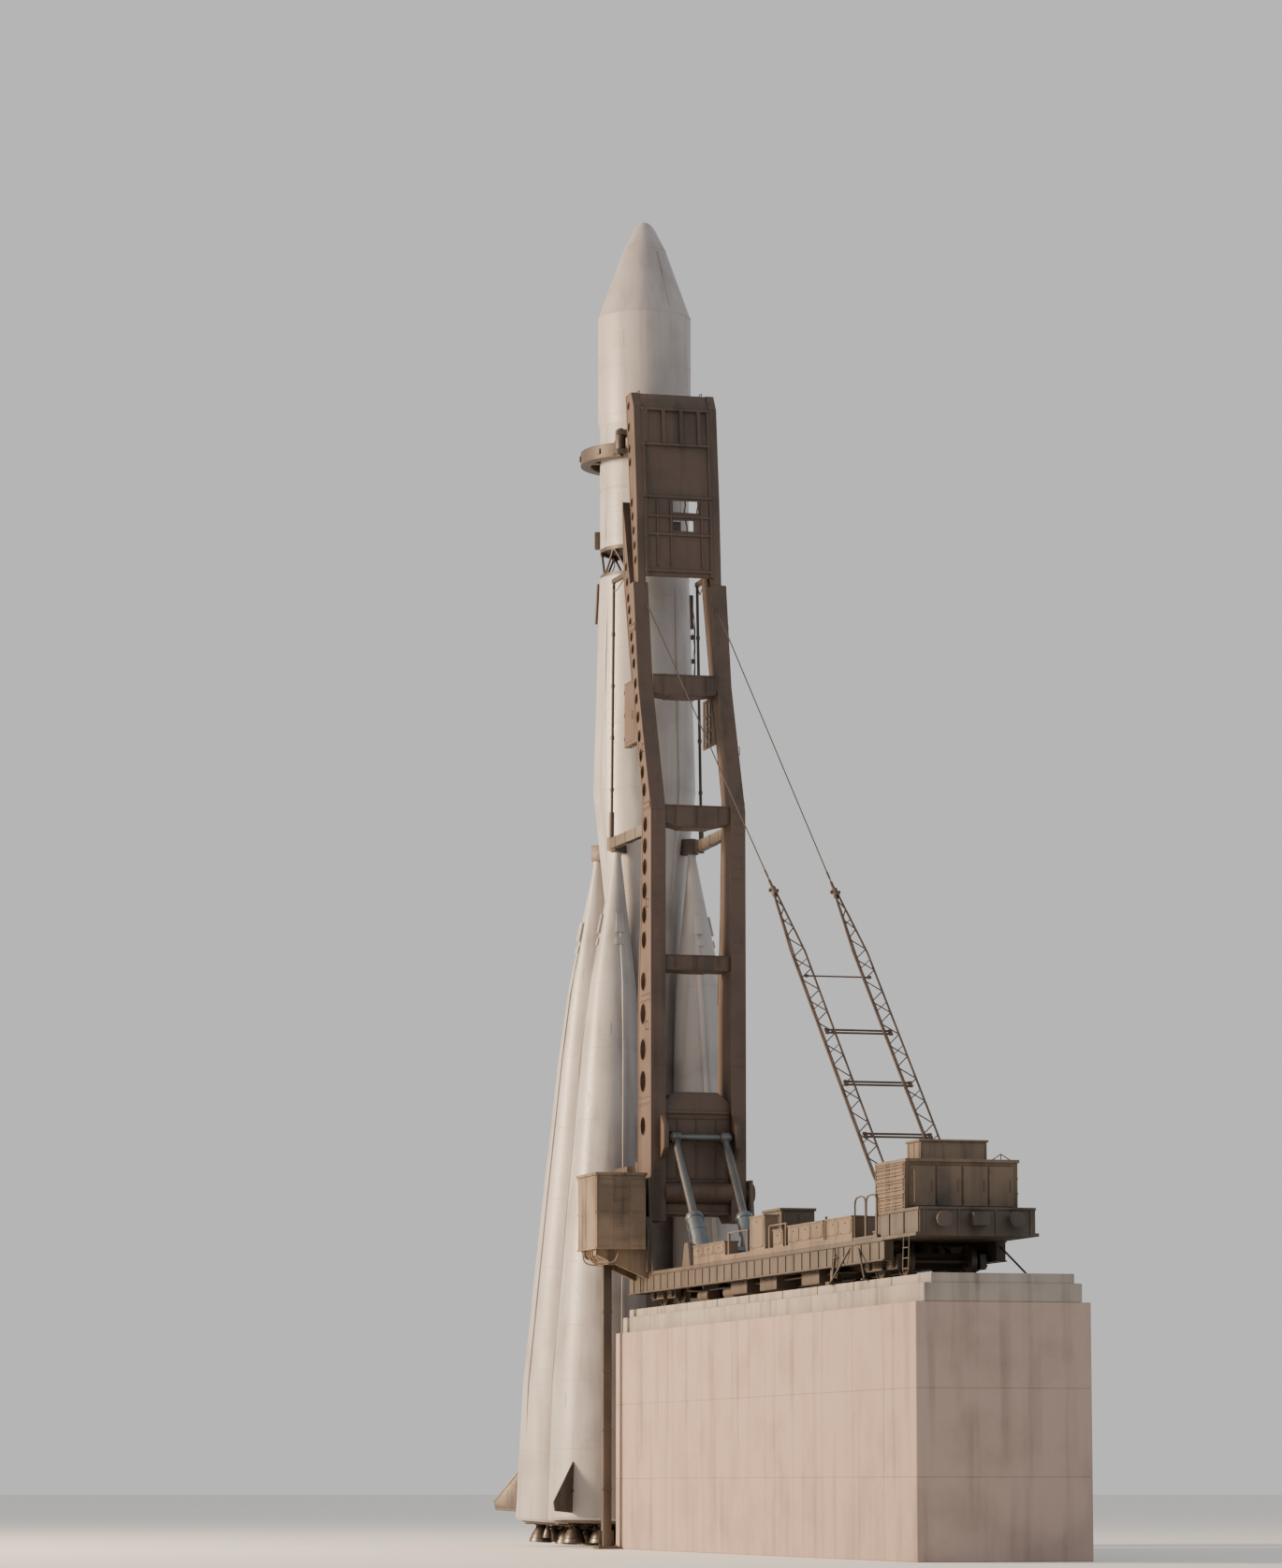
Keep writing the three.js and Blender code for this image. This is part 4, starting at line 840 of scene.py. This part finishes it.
parts = []
for y in (-STAY_Y, STAY_Y):
    stops = [chords(far, y) for far in (0.04, 1.44, STAY_LONG - 2.89, STAY_LONG - 0.04)]
    parts += [run([stop[k] for stop in stops], 0.029, 10) for k in range(3)]
    laces = [chords(0.42 + (STAY_LONG - 0.9) / STAY_BAYS * i, y) for i in range(STAY_BAYS + 1)]
    for i, (near, far) in enumerate(zip(laces, laces[1:])):
        parts.append(rod(near[i % 2], far[1 - i % 2], 0.017, 6))
        if i % 4 == 2:
            parts += [rod(near[k], near[2], 0.015, 6) for k in (0, 1)]
    parts.append(bevelled(rod(on_stay(-0.06, y), on_stay(0.33, y), 0.092, 16), 0.01))
    parts.append(rod(on_stay(0, y - 0.25), on_stay(0, y + 0.25), 0.05, 24))
    parts.append(bevelled(rod(on_stay(STAY_LONG - 0.33, y), on_stay(STAY_LONG, y), 0.082, 16), 0.01))
    parts.append(rod(on_stay(STAY_LONG - 0.12, y - 0.13), on_stay(STAY_LONG - 0.12, y + 0.13), 0.045, 16))
for far in (3.06, 3.18, 5.13, 5.25, 7.25, 7.37, 9.63):
    bar_ends = [on_stay(far, y, 0.06) for y in (-STAY_Y, STAY_Y)]
    parts.append(rod(*bar_ends, 0.022 if far > 9 else 0.028, 10))
    half = Vector((0.04, 0.05, 0.04))
    parts += [slab(at - half, at + half, 0.008) for at in bar_ends]
dress(parts, "stay_frame_lattice", "stay_frame", erector_brown, "stay_frame")
for side, way in (("right", 1), ("left", -1)):
    foot, eye = on_stay(STAY_LONG + 0.0014, way * STAY_Y), Vector((3.86, way * 1.01, 26.48))
    line = eye - foot
    parts = [rod(foot, foot + line * 0.985, 0.0175, 12)]
    for rows in ([(0.02, 0.0), (0.04, 0.02), (0.04, 0.34), (0.02, 0.42)],
                 [(0.018, 0.50), (0.028, 0.52), (0.028, 0.86), (0.018, 0.9)]):
        parts.append(aimed(lathed(rows, 12), foot, eye))
    cable = dress(parts, "stay_cable_" + side + "_wire", "stay_frame", cable_steel, "stay_cable_" + side)
    start = foot + Vector((ROCKET_X, 0, 0))
    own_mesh(cable)

# Upper clamp
# Two curved arms on upright pins close round the third stage, over rubber pads. The seat on the
# boom's head carries their forks and the fixed pads.
clamp_grey = weathered("Clamp paint", (0.062, 0.045, 0.035), (0.032, 0.024, 0.019), 0.5, 0.5, 0.5, 0.2)
parts = [refined("clamp_seat", 0.008)]
for way in (-1, 1):
    for z in (30.905, 31.655):
        bpy.ops.mesh.primitive_cylinder_add(vertices=6, radius=0.095, depth=0.05,
                                            location=(2.4, way * 1.35, z))
        parts.append(bevelled(settle(bpy.context.object, "nut"), 0.01))
    for z, up in ((30.93, -1), (31.63, 1)):
        spots = [(2.45, way * 0.98, z), (2.3, way * 1.06, z), (2.1, way * 0.86, z)]
        parts.append(bolts(spots, (0, 0, up), 0.03, 0.03))
    parts.append(rib((2.1, 2.88), way * 0.9, 0.012, (31.0, 31.56)))
dress(parts, "clamp_seat_forged", "boom", clamp_grey, "clamp_seat")


def spin(angle):
    """A turn about the Z axis, in degrees, as a matrix."""
    return Matrix.Rotation(math.radians(angle), 4, "Z")


ARM_LOW, ARM_HIGH = 31.08, 31.48
ARM_TURNS = [math.radians(38 + 141.8 * i / 36) for i in range(37)]
for side, way in (("right", 1), ("left", -1)):
    node = "clamp_arm_" + side
    rows = [(wide * math.cos(turn), way * max(0.005, wide * math.sin(turn)))
            for wide, turns in ((1.86, ARM_TURNS), (1.56, ARM_TURNS[::-1])) for turn in turns]
    parts = [plate(rows, "z", ARM_LOW + 0.03, ARM_HIGH - 0.03, 0.006)]
    parts += [plate(rows, "z", z, z + 0.04, 0.008) for z in (ARM_LOW, ARM_HIGH - 0.04)]
    lever = [(x, way * y) for x, y in ((1.23, 1.01), (1.50, 1.0), (2.30, 1.20), (2.30, 1.46), (1.35, 1.29))]
    parts.append(plate(lever, "z", ARM_LOW + 0.04, ARM_HIGH - 0.04, 0.012))
    turns = [spin(angle * way) for angle in (60, 100, 140)]
    parts += twins(slab((1.297, -0.125, ARM_LOW + 0.06), (1.6, 0.125, ARM_HIGH - 0.06), 0.015, 2), turns)
    parts += twins(slab((1.86, -0.06, ARM_LOW + 0.12), (1.90, 0.06, ARM_HIGH - 0.12), 0.008), turns)
    hinge = lathed([(0.148, ARM_LOW), (0.15, ARM_LOW + 0.01), (0.15, ARM_HIGH - 0.01), (0.148, ARM_HIGH)], 32)
    pin_hole = rod((2.4, way * 1.35, ARM_LOW - 0.05), (2.4, way * 1.35, ARM_HIGH + 0.05), 0.0606, 32)
    parts.append(carved(moved(hinge, shift(2.4, way * 1.35)), [pin_hole]))
    spots = [(1.71 * c, way * 1.71 * s, ARM_HIGH + 0.008) for c, s in circle(24, 50)[:9]]
    parts.append(bolts(spots, (0, 0, 1), 0.024, 0.024))
    dress(parts, node + "_forged", node, clamp_grey, node)

# Waist and tail supports
# Arms from the girders steady the boosters: padded ones at the booster tips with a thin upright
# rod and a bracket, and a bar with two saddles low down. All are in the clamp's dark paint.
for side, way in (("right", 1), ("left", -1)):
    node = "waist_support_" + side
    parts = [refined(node, 0.006)]
    for x in (1.9, 2.9, 3.9):
        y = way * (1.29 - (x - 1.29) * 0.03)
        parts.append(rib((x - 0.02, x + 0.02), y, 0.112, (19.69, 20.01), 0.005))
    for z in (21.4, 22.9, 24.4, 25.9):
        wide = 1.33 - (z - 19.9) * 0.0119
        parts.append(rod((wide, way * wide, z - 0.05), (wide, way * wide, z + 0.05), 0.06, 16))
    parts.append(tube([(1.24, way * 1.24, 27.4), (1.3, way * 1.3, 27.2), (1.5, way * 1.24, 27.1),
                       (1.9, way * 1.22, 27.25), (2.4, way * 1.2, 27.39)], 0.016))
    dress(parts, node + "_arm", "boom", clamp_grey, node)
parts = [refined("tail_support", 0.012)]
parts += [rib((3.985, 4.02), y, 0.015, (10.03, 10.57), 0.005) for y in (-0.9, -0.3, 0.3, 0.9)]
parts += [rib((3.98, 4.39), 0, 1.36, (z - 0.014, z + 0.014)) for z in (10.0, 10.6)]
dress(parts, "tail_support_bar", "boom", clamp_grey, "tail_support")

# Boosters
# Four tapering boosters lean against the core, each a smooth riveted shell with raised seams,
# flush hatches and two cable ducts. A ball at the tip sits in the core's bracket.
rocket_grey = weathered("Rocket enamel", (0.375, 0.350, 0.345), (0.20, 0.18, 0.172), 0.4, 0.45, 0.40)
SIDES = 72
BOOSTER_ROWS = [(1.30, 0.70), (1.34, 0.76), (1.34, 4.55), (1.064, 9.85), (0.82, 13.95), (0.66, 15.80),
                (0.30, 18.25), (0.11, 19.60), (0.11, 19.80)]


def seams(rows, levels, proud=0.006):
    """Raised ring seams round a turned body."""
    return [hoop((0, 0, z), width_at(rows, z), proud, SIDES, True) for z in levels]


def hatches(rows, places, proud=0.008):
    """Hatches (bearing, low, high, span) that follow a turned body's curve and taper, a little proud."""
    made = []
    for angle, z0, z1, span in places:
        turns = [math.radians(angle - span / 2 + span * i / 8) for i in range(9)]
        low, high = width_at(rows, z0), width_at(rows, z1)
        arc = [(wide * math.cos(turn), wide * math.sin(turn))
               for wide, line in ((low + proud, turns), (low - 0.03, turns[::-1])) for turn in line]
        obj = plate(arc, "z", z0, z1)
        for vertex in obj.data.vertices:
            if vertex.co.z > (z0 + z1) / 2:
                vertex.co.x *= high / low
                vertex.co.y *= high / low
        made.append(bevelled(obj, 0.004, 1, 40))
    return made


def ducts(rows, angles, z0, z1, wide, proud):
    """Raised cable ducts with sloped ends that follow a turned body's outline, at given bearings."""
    stops = [z0] + [z for _, z in rows if z0 < z < z1] + [z1]
    outer = [(width_at(rows, z) + proud, z) for z in stops]
    outer[0] = (outer[0][0] - proud, z0 - 0.12)
    outer[-1] = (outer[-1][0] - proud, z1 + 0.12)
    inner = [(width_at(rows, z) - 0.03, z) for z in reversed(stops)]
    cover = plate(outer + inner, "y", -wide / 2, wide / 2)
    return twins(bevelled(cover, min(0.02, proud * 0.4), 2, 30), [spin(angle) for angle in angles])


BOOSTER_LEAN = Matrix.Rotation(-math.atan(0.0606), 4, "Y")
BOOSTER_PLACES = [spin(45 + 90 * k) @ shift(2.75) @ BOOSTER_LEAN for k in range(4)]


def at_boosters(parts, node, ending, material, body="boom"):
    """Sets a copy of a joined piece at each booster, on the boom or on its own body."""
    for k, twin in enumerate(twins(together(parts, node), BOOSTER_PLACES), 1):
        dress([twin], node + str(k) + ending, body or node + str(k), material, node + str(k))


parts = [lathed(BOOSTER_ROWS, SIDES, 14)]
parts += seams(BOOSTER_ROWS, (0.78, 2.65, 4.55, 6.1, 7.9, 9.85, 11.9, 13.95, 15.8, 18.25, 19.6))
parts += ducts(BOOSTER_ROWS, (-58, 58), 2.9, 17.6, 0.13, 0.045)
parts += hatches(BOOSTER_ROWS, (
    (24, 2.9, 3.5, 26), (-24, 3.8, 4.2, 20), (90, 5.0, 5.6, 24), (-92, 5.0, 5.6, 24), (18, 8.3, 8.8, 22),
    (-100, 9.0, 9.5, 20), (110, 12.2, 12.6, 22), (-20, 12.3, 12.7, 22), (16, 14.3, 14.7, 26),
    (100, 1.1, 1.8, 20), (-100, 1.1, 1.8, 20), (80, 16.2, 16.5, 34)))
for z in (4.60, 9.90):
    wide = width_at(BOOSTER_ROWS, z)
    parts += [bolts([(wide * c, wide * s, z)], (c, s, 0), 0.011, 0.012) for c, s in circle(36, 5)]
for z0, z1, proud in ((17.3, 17.85, 0.075), (16.95, 17.15, 0.05)):
    parts += hatches(BOOSTER_ROWS, ((50, z0, z1, 30), (-50, z0, z1, 30)), proud)
rudder_boss = rod((1.2, 0, 1.5), (1.344, 0, 1.5), 0.11, 32)
parts.append(carved(rudder_boss, [rod((1.234, 0, 1.5), (1.4, 0, 1.5), 0.046, 28)]))
parts.append(lathed([(0.11, 19.5), (0.125, 19.54), (0.128, 19.6), (0.125, 19.66), (0.11, 19.7)], 32, 60))
at_boosters(parts, "booster_", "_shell", rocket_grey)

# Engines
# Each stage ends in a plate with four fixed bells and small steering bells. The bells are thin
# spun metal with stiffening hoops, open below, under bent feed pipes.
engine_metal = weathered("Engine metal", (0.13, 0.11, 0.095), (0.05, 0.04, 0.035), 0.5, 0.35, 0.38, 0.8)
BELL_CURVE = [(0.30, 0.0), (0.27, 0.10), (0.36, 0.17), (0.56, 0.34), (0.76, 0.56), (0.91, 0.78),
              (0.985, 0.96), (0.985, 1.0)]


def bell(x, y, top, foot, wide, hoops):
    """A hollow bell from its throat down to its mouth, with hoops round it."""
    deep = top - foot
    made = [lathed([(wide * r, top - deep * t) for r, t in BELL_CURVE], 36, 40, 0.012)]
    for k in range(hoops):
        r, t = [row for row in BELL_CURVE if row[1] <= 0.45 + 0.5 * k / (hoops - 1)][-1]
        made.append(hoop((0, 0, top - deep * t), wide * r + 0.008, 0.008, 36))
    return moved(together(made, "bell"), shift(x, y))


def engine_parts(wide, spread, foot, verniers):
    """The tail plate of a stage with its bells, feed pipes and ribs."""
    made = [lathed([(wide - 0.06, 0.62), (wide - 0.01, 0.66), (wide, 0.6997)], 64)]
    for x, y in ((i * spread, j * spread) for i in (-1, 1) for j in (-1, 1)):
        made.append(bell(x, y, 0.63, foot, 0.33, 4))
        feed = [(x * near, y * near, z) for near, z in ((1, 0.6), (0.8, 0.54), (0.45, 0.52), (0, 0.56))]
        made.append(tube(feed, 0.035))
        made.append(tube([(x + 0.12, y, 0.62), (x + 0.16, y + 0.06, 0.5), (x + 0.08, y + 0.14, 0.44)], 0.018))
    for x, y, low in verniers:
        made += [bell(x, y, 0.60, low, 0.125, 2), rod((x, y, 0.63), (x, y, 0.55), 0.05, 16)]
    spoke = rib((0.30, wide - 0.09), 0, 0.008, (0.585, 0.63), 0.003)
    made += twins(spoke, [spin(30 * k + 15) for k in range(12)])
    made.append(lathed([(0.10, 0.63), (0.12, 0.60), (0.12, 0.50), (0.09, 0.47)], 24, 40))
    return made


at_boosters(engine_parts(1.18, 0.43, 0.092, [(0, 0.8, 0.242), (0, -0.8, 0.242)]), "booster_engine_", "_bells",
            engine_metal)
core_verniers = [(0.76 * c, 0.76 * s, 0.202) for c, s in circle(4)]
dress(engine_parts(0.94, 0.38, 0.012, core_verniers), "engines", "boom", engine_metal, "core_engine")

# Air rudders
# A flat swept fin of plate, with strips along its edges, turns on a shaft near each booster's foot.
FIN_ROWS = [(1.35, 0.88), (2.25, 0.88), (2.34, 1.12), (1.35, 2.30)]
parts = [bevelled(plate(FIN_ROWS, "y", -0.022, 0.022), 0.012, 2)]
for corners, deep in (([(1.37, 0.90), (2.24, 0.90)], 0.05), ([(1.37, 2.25), (2.32, 1.125)], -0.05),
                      ([(1.385, 0.92), (1.385, 2.2)], 0.05)):
    parts += edged(corners, deep, -0.025, -0.021) + edged(corners, deep, 0.021, 0.025)
parts.append(rod((1.24, 0, 1.5), (1.42, 0, 1.5), 0.045, 28))
parts += [rib((x, x + 0.03), 0, 0.025, (1.0, 1.75 - (x - 1.6) * 1.1), 0.004) for x in (1.6, 1.85)]
at_boosters(parts, "air_rudder_", "_fin", engine_metal, None)

# Core stage
# The core narrows between the boosters and swells above them. Ducts run up both sides, brackets
# hold the booster tips and feet, and loose cabling hangs at its shoulder.
CORE_ROWS = [(1.00, 0.70), (1.03, 0.76), (1.03, 15.0), (1.06, 16.5), (1.125, 18.2), (1.475, 21.5),
             (1.36, 25.6), (1.30, 27.7497)]
parts = [lathed(CORE_ROWS, SIDES, 14)]
parts += seams(CORE_ROWS, (0.78, 3.0, 6.0, 9.0, 12.0, 15.0, 18.2, 19.9, 21.5, 23.4, 25.6, 27.1), 0.007)
parts += seams(CORE_ROWS, (27.72,), 0.014)
parts += ducts(CORE_ROWS, (30, 210), 18.4, 27.3, 0.17, 0.075)
parts += ducts(CORE_ROWS, (-70, 120, 165), 21.6, 27.0, 0.09, 0.035)
parts += hatches(CORE_ROWS, (
    (-40, 26.2, 26.9, 24), (-60, 23.8, 24.3, 18), (10, 24.2, 24.8, 20), (95, 22.4, 23.0, 20),
    (-100, 25.8, 26.4, 16), (-8, 21.8, 22.3, 18), (180, 24.0, 24.6, 22), (140, 26.2, 26.8, 18)))
brackets = []
BRACKET_TURNS = [spin(45 + 90 * k) for k in range(4)]
for low, high in (((1.15, -0.15, 19.62), (1.70, 0.15, 20.08)), ((0.95, -0.07, 1.45), (1.42, 0.07, 1.70))):
    brackets += twins(slab(low, high, 0.02, 2), BRACKET_TURNS)
brackets.append(moved(rod((1.40, 0, 26.45), (1.34, 0, 27.63), 0.045, 16), spin(255)))
shoulder = [slab((1.25, -0.09, 26.3), (1.42, 0.09, 27.3), 0.03, 2)]
for spread, top, foot in ((-0.05, 26.9, 25.3), (0.02, 26.6, 24.6), (0.08, 26.2, 24.2)):
    shoulder.append(tube([(1.40, spread, top), (1.46, spread * 0.5, top - 0.4),
                          (1.47, spread, (top + foot) / 2), (1.44, spread * 1.6, foot + 0.4),
                          (1.41, spread, foot)], 0.014))
shoulder += [slab((1.33, -0.1, z), (1.45, 0.12, z + 0.12), 0.015, 2) for z in (24.7, 25.3, 26.0)]
brackets += [moved(part, spin(75)) for part in shoulder]
dress(brackets, "booster_brackets", "boom", clamp_grey)
dress(parts, "core_stage_shell", "boom", rocket_grey, "core_stage")

# Strut truss
# Eight pairs of metal tubes between two rings join the core to the third stage, round its open
# bells, with cables down the inside.


def on_ring(wide, angle, z):
    """A point at a height, by its distance from the axis and its bearing in degrees."""
    return Vector((wide * math.cos(math.radians(angle)), wide * math.sin(math.radians(angle)), z))


parts = [lathed([(1.24, low), (1.24, high)], SIDES, 30, 0.088)
         for low, high in ((27.75, 27.84), (28.51, 28.5997))]
for bearing in (45 * i + 7.5 for i in range(8)):
    start = on_ring(1.24, bearing, 27.79)
    parts.append(bevelled(rod(on_ring(1.24, bearing, 27.8), on_ring(1.24, bearing, 27.9), 0.07, 12), 0.008))
    for end in (on_ring(1.235, bearing + lean, 28.56) for lean in (-22.5, 22.5)):
        parts += [rod(start, end, 0.034, 12), rod(start.lerp(end, 0.86), end, 0.05, 12)]
for angle in (35, 80, 125, 215, 305):
    parts.append(tube([on_ring(1.17, angle, 28.55), on_ring(1.1, angle, 28.3),
                       on_ring(1.12, angle + 11.46, 28.0), on_ring(1.18, angle + 11.46, 27.8)], 0.016))
dress(parts, "strut_truss_tubes", "boom", clamp_grey, "strut_truss")

# Third stage
# A short sheet metal drum with a sunk joint line stands on the strut truss. It has four hoisting
# lugs low down and four open bells beneath it.
STAGE_ROWS = [(0.90, 28.95), (1.23, 28.6003), (1.29, 28.61), (1.29, 30.27), (1.265, 30.285), (1.265, 30.33),
              (1.29, 30.345), (1.29, 32.1997)]
parts = [lathed(STAGE_ROWS, SIDES, 20)] + seams(STAGE_ROWS, (28.9, 29.6, 31.9), 0.005)
LUG_ANGLES = (75, 165, 255, 345)
lug_turns = [spin(angle) for angle in LUG_ANGLES]
lugs = twins(slab((1.2, -0.13, 28.65), (1.45, 0.13, 29.15), 0.03, 2), lug_turns)
lugs += twins(rod((1.45, -0.02, 28.9), (1.36, -0.02, 28.9), 0.06, 20), lug_turns)
lugs += twins(bell(0.46, 0, 29.0, 28.16, 0.255, 3), [spin(angle + 45) for angle in LUG_ANGLES])
dress(lugs, "third_stage_lugs", "boom", clamp_grey)
parts += hatches(STAGE_ROWS, (
    (-60, 29.75, 30.15, 20), (-95, 30.5, 30.9, 16), (20, 29.8, 30.15, 18), (110, 29.3, 29.8, 20),
    (200, 29.7, 30.2, 20), (-30, 31.6, 31.85, 14)), 0.006)
parts += ducts(STAGE_ROWS, (-75, -112, 40, 140), 28.75, 30.1, 0.05, 0.02)
dress(parts, "third_stage_shell", "boom", rocket_grey, "third_stage")

# Payload fairing
# Two smooth half shells meet at upright seams, with a blunt cone above a straight part. A ring
# of bolts at the foot holds them to the third stage.
fairing_grey = weathered("Fairing enamel", (0.365, 0.330, 0.325), (0.21, 0.185, 0.178), 0.35, 0.35, 0.42)
FAIRING_ROWS = [(1.30, 32.20), (1.35, 32.45), (1.35, 35.45), (0.62, 37.50), (0.33, 38.08), (0.26, 38.19),
                (0.18, 38.29), (0.09, 38.345), (0.02, 38.36)]
parts = [lathed(FAIRING_ROWS, SIDES, 15)]
for z, proud in ((32.46, 0.006), (33.9, 0.005), (35.45, 0.014), (37.5, 0.010)):
    parts += seams(FAIRING_ROWS, (z,), proud)
parts += ducts(FAIRING_ROWS, (20, 200), 32.6, 37.3, 0.03, 0.008)
parts += hatches(FAIRING_ROWS, ((-50, 34.4, 34.9, 18), (120, 34.4, 34.9, 18), (-120, 33.0, 33.5, 18),
                                (60, 33.0, 33.5, 18)), 0.005)
parts.append(bolts([(1.352 * c, 1.352 * s, 32.5) for c, s in circle(48)], (0, 0, 1), 0.012, 0.02))
dress(parts, "fairing_shell", "boom", fairing_grey, "fairing")

# Floor, light and camera
# A pale floor and backdrop, a broad key from the left and a weak fill, seen from a low place.
FLOOR_RADIUS = 900
LENS = 120.4
CAMERA_AT = (130.93, -38.82, 1.7)
CAMERA_TURN = (math.radians(97.625), 0.0, math.radians(75.04))
FAR_CLIP = 3000

bpy.ops.mesh.primitive_circle_add(vertices=64, radius=FLOOR_RADIUS, fill_type="NGON", location=(0, 0, -0.002))
floor = settle(bpy.context.object, "floor")
floor_paint = bpy.data.materials.new("Floor")
floor_paint.use_nodes = True
floor_shader = floor_paint.node_tree.nodes["Principled BSDF"]
fed(floor_paint.node_tree, floor_shader, "Base Color", (0.80, 0.79, 0.77, 1))
fed(floor_paint.node_tree, floor_shader, "Roughness", 0.9)
floor.data.materials.append(floor_paint)

world = bpy.data.worlds.new("Studio")
bpy.context.scene.world = world
world.use_nodes = True
backdrop = world.node_tree.nodes["Background"]
fed(world.node_tree, backdrop, "Color", (0.92, 0.915, 0.91, 1))
fed(world.node_tree, backdrop, "Strength", 0.72)

for name, place, target, size, power, colour in (
        ("key", (-20, -75, 30), (-10, 0, 16), 20, 165000, (1.0, 0.74, 0.48)),
        ("fill", (80, 30, 45), (-5, 0, 14), 40, 5000, (0.95, 0.97, 1.0))):
    way = Vector(target) - Vector(place)
    bpy.ops.object.light_add(type="AREA", location=place, rotation=way.to_track_quat("-Z", "Y").to_euler())
    lamp = bpy.context.object
    lamp.name = name
    lamp.data.size = size
    lamp.data.energy = power
    lamp.data.color = colour

bpy.ops.object.camera_add(location=CAMERA_AT, rotation=CAMERA_TURN)
camera = bpy.context.object
camera.data.lens = LENS
camera.data.clip_end = FAR_CLIP
bpy.context.scene.camera = camera
